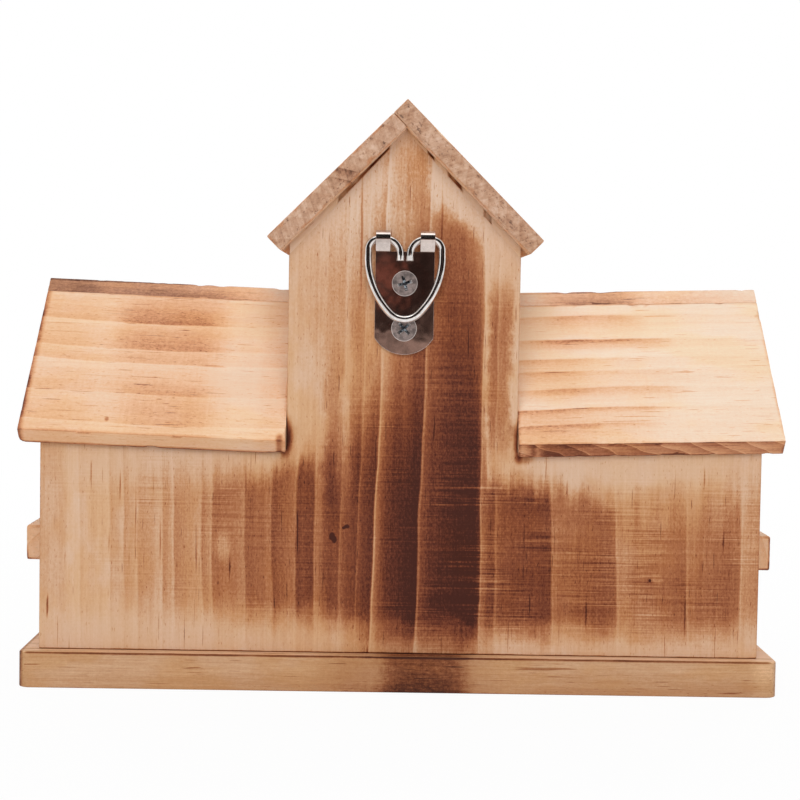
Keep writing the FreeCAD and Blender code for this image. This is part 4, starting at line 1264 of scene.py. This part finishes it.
def plated(name, colour, roughness, scratches, waves, ripple=1.0, stains=0.3, dull=0.86, recess_grime_and_shade=0.0, rim=0.0,
           metal=1.0):
    mix = Recipe(name)
    place = mix.vector("SCALE", mix.add("TexCoord", output=3), None, None, PER_METRE)
    smear = mix.noise(place, (stains, stains, stains), detail=4, roughness=0.6)
    fine = mix.noise(place, (5, 5, 2), detail=3, roughness=0.7)
    wave = mix.noise(place, (0.12, 0.12, 0.12), detail=2)
    stain = tint(*(value * dull for value in colour))
    shade = mix.blend(mix.fade(smear, 0.35, 0.7), tint(*colour), stain)
    # Painted highlight: faces that lean outwards on the rims are painted brighter and less metallic.
    outward = mix.part(mix.add("TexCoord", output=1), 1)
    painted_rim_highlight = mix.times(mix.fade(outward, 0.97, 0.8), mix.fade(outward, 0.05, 0.3, 0.0, rim))
    shade = mix.blend(painted_rim_highlight, shade, tint(*PAINTED_RIM_HIGHLIGHT))
    # In the screws' recesses: grime with painted shade, speckled with painted glints.
    painted_glint = mix.fade(mix.noise(place, (1.4, 1.4, 1.4), detail=2, roughness=0.6), 0.5, 0.6)
    grime_and_shade_share = mix.times(mix.add("Attribute", attribute_name=WEAR_AND_SHADE, output=2), recess_grime_and_shade)
    mix.set("Base Color", mix.blend(grime_and_shade_share, shade, mix.blend(painted_glint, tint(*GRIME_AND_SHADE), tint(*PAINTED_GLINT))))
    mix.set("Metallic", mix.fade(mix.sum("MAXIMUM", grime_and_shade_share, painted_rim_highlight), 0.0, 1.0, metal, 0.0))
    mix.set("Roughness", mix.fade(fine, 0.3, 0.8, roughness, roughness + scratches))
    mix.bump(mix.plus(wave, waves, mix.times(fine, ripple)), METAL_DEPTH, 0.2)
    print("Finish:", name)
    return mix.material


plate_metal = plated("plated_sheet", (214, 198, 190), 0.04, 0.04, waves=14, ripple=0.2, rim=0.25)
wire_metal = plated("plated_wire", (240, 234, 230), 0.06, 0.06, waves=0)
screw_metal = plated("zinc_screw", (176, 160, 155), 0.2, 0.1, waves=10, stains=0.5, dull=0.62, recess_grime_and_shade=0.95,
                     rim=0.7, metal=0.6)

# %% [markdown]
# The hanger
# A plated plate with two rolled knuckles holds a bent wire ring. The solids have the right shapes; thin
# bevels make their edges shine, as the edge of a punched sheet does, and on the plate they also get a
# painted highlight.

# %% Plate and ring
PLATE_EASE, PLATE_SEGMENTS = 0.3 * MM, 3
RING_EASE = 0.25 * MM
eased_piece("hanger_plate", "plated_hanger_plate", plate_metal, PLATE_EASE, PLATE_SEGMENTS)
eased_piece("hanger_ring", "plated_hanger_ring", wire_metal, RING_EASE, body="ring")

# %% [markdown]
# The screws
# A cross recess is pressed into the head with a tapered punch, so its walls lean inwards and catch the
# light. The solid's recess has upright walls, so here its floor is made smaller, and below the rim the
# recess is darkened with grime and painted shade, the more the deeper it lies.

# %% Screws
RECESS_DEPTH = 1.5 * MM
RECESS_REACH = 2.7 * MM
RECESS_TAPER = 0.62
# How fast the recess darkens with depth, as grime and painted shade.
RECESS_GRIME_AND_SHADE = 3
HEAD_RIM = 3.4 * MM
HEAD_ROUNDING, HEAD_SEGMENTS = 0.5 * MM, 4
SCREW_EASE = 0.1 * MM
LEVEL_WITH = 0.05 * MM


def from_axis(vert, axis):
    return math.hypot(vert.co.x - axis.x, vert.co.z - axis.z)


for label in ("upper", "lower"):
    node = f"{label}_hanger_screw"
    low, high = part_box(node)
    axis = (low + high) / 2
    screw = merged_solid(node)
    deepest = [vert for vert in screw.verts
               if abs(high.y - vert.co.y - RECESS_DEPTH) < LEVEL_WITH
               and from_axis(vert, axis) < RECESS_REACH]
    taper = (RECESS_TAPER, 1, RECESS_TAPER)
    bmesh.ops.scale(screw, vec=taper, space=Matrix.Translation(-axis), verts=deepest)
    rim = [edge for edge in screw.edges
           if all(vert.co.y > high.y - LEVEL_WITH and from_axis(vert, axis) > HEAD_RIM
                  for vert in edge.verts)]
    round_edges(screw, rim, HEAD_ROUNDING, HEAD_SEGMENTS)
    ease_corners(screw, SCREW_EASE)
    # Grime and painted shade: the deeper a point lies in the recess, the darker it is painted.
    grime_and_shade = screw.verts.layers.float[WEAR_AND_SHADE]
    for vert in screw.verts:
        depth = (high.y - vert.co.y) / RECESS_DEPTH
        vert[grime_and_shade] = min(1.0, RECESS_GRIME_AND_SHADE * depth) if from_axis(vert, axis) < RECESS_REACH else 0.0
    print("Recess corners:", len(deepest))
    finish_piece(screw, f"{label}_zinc_screw", screw_metal, [node])
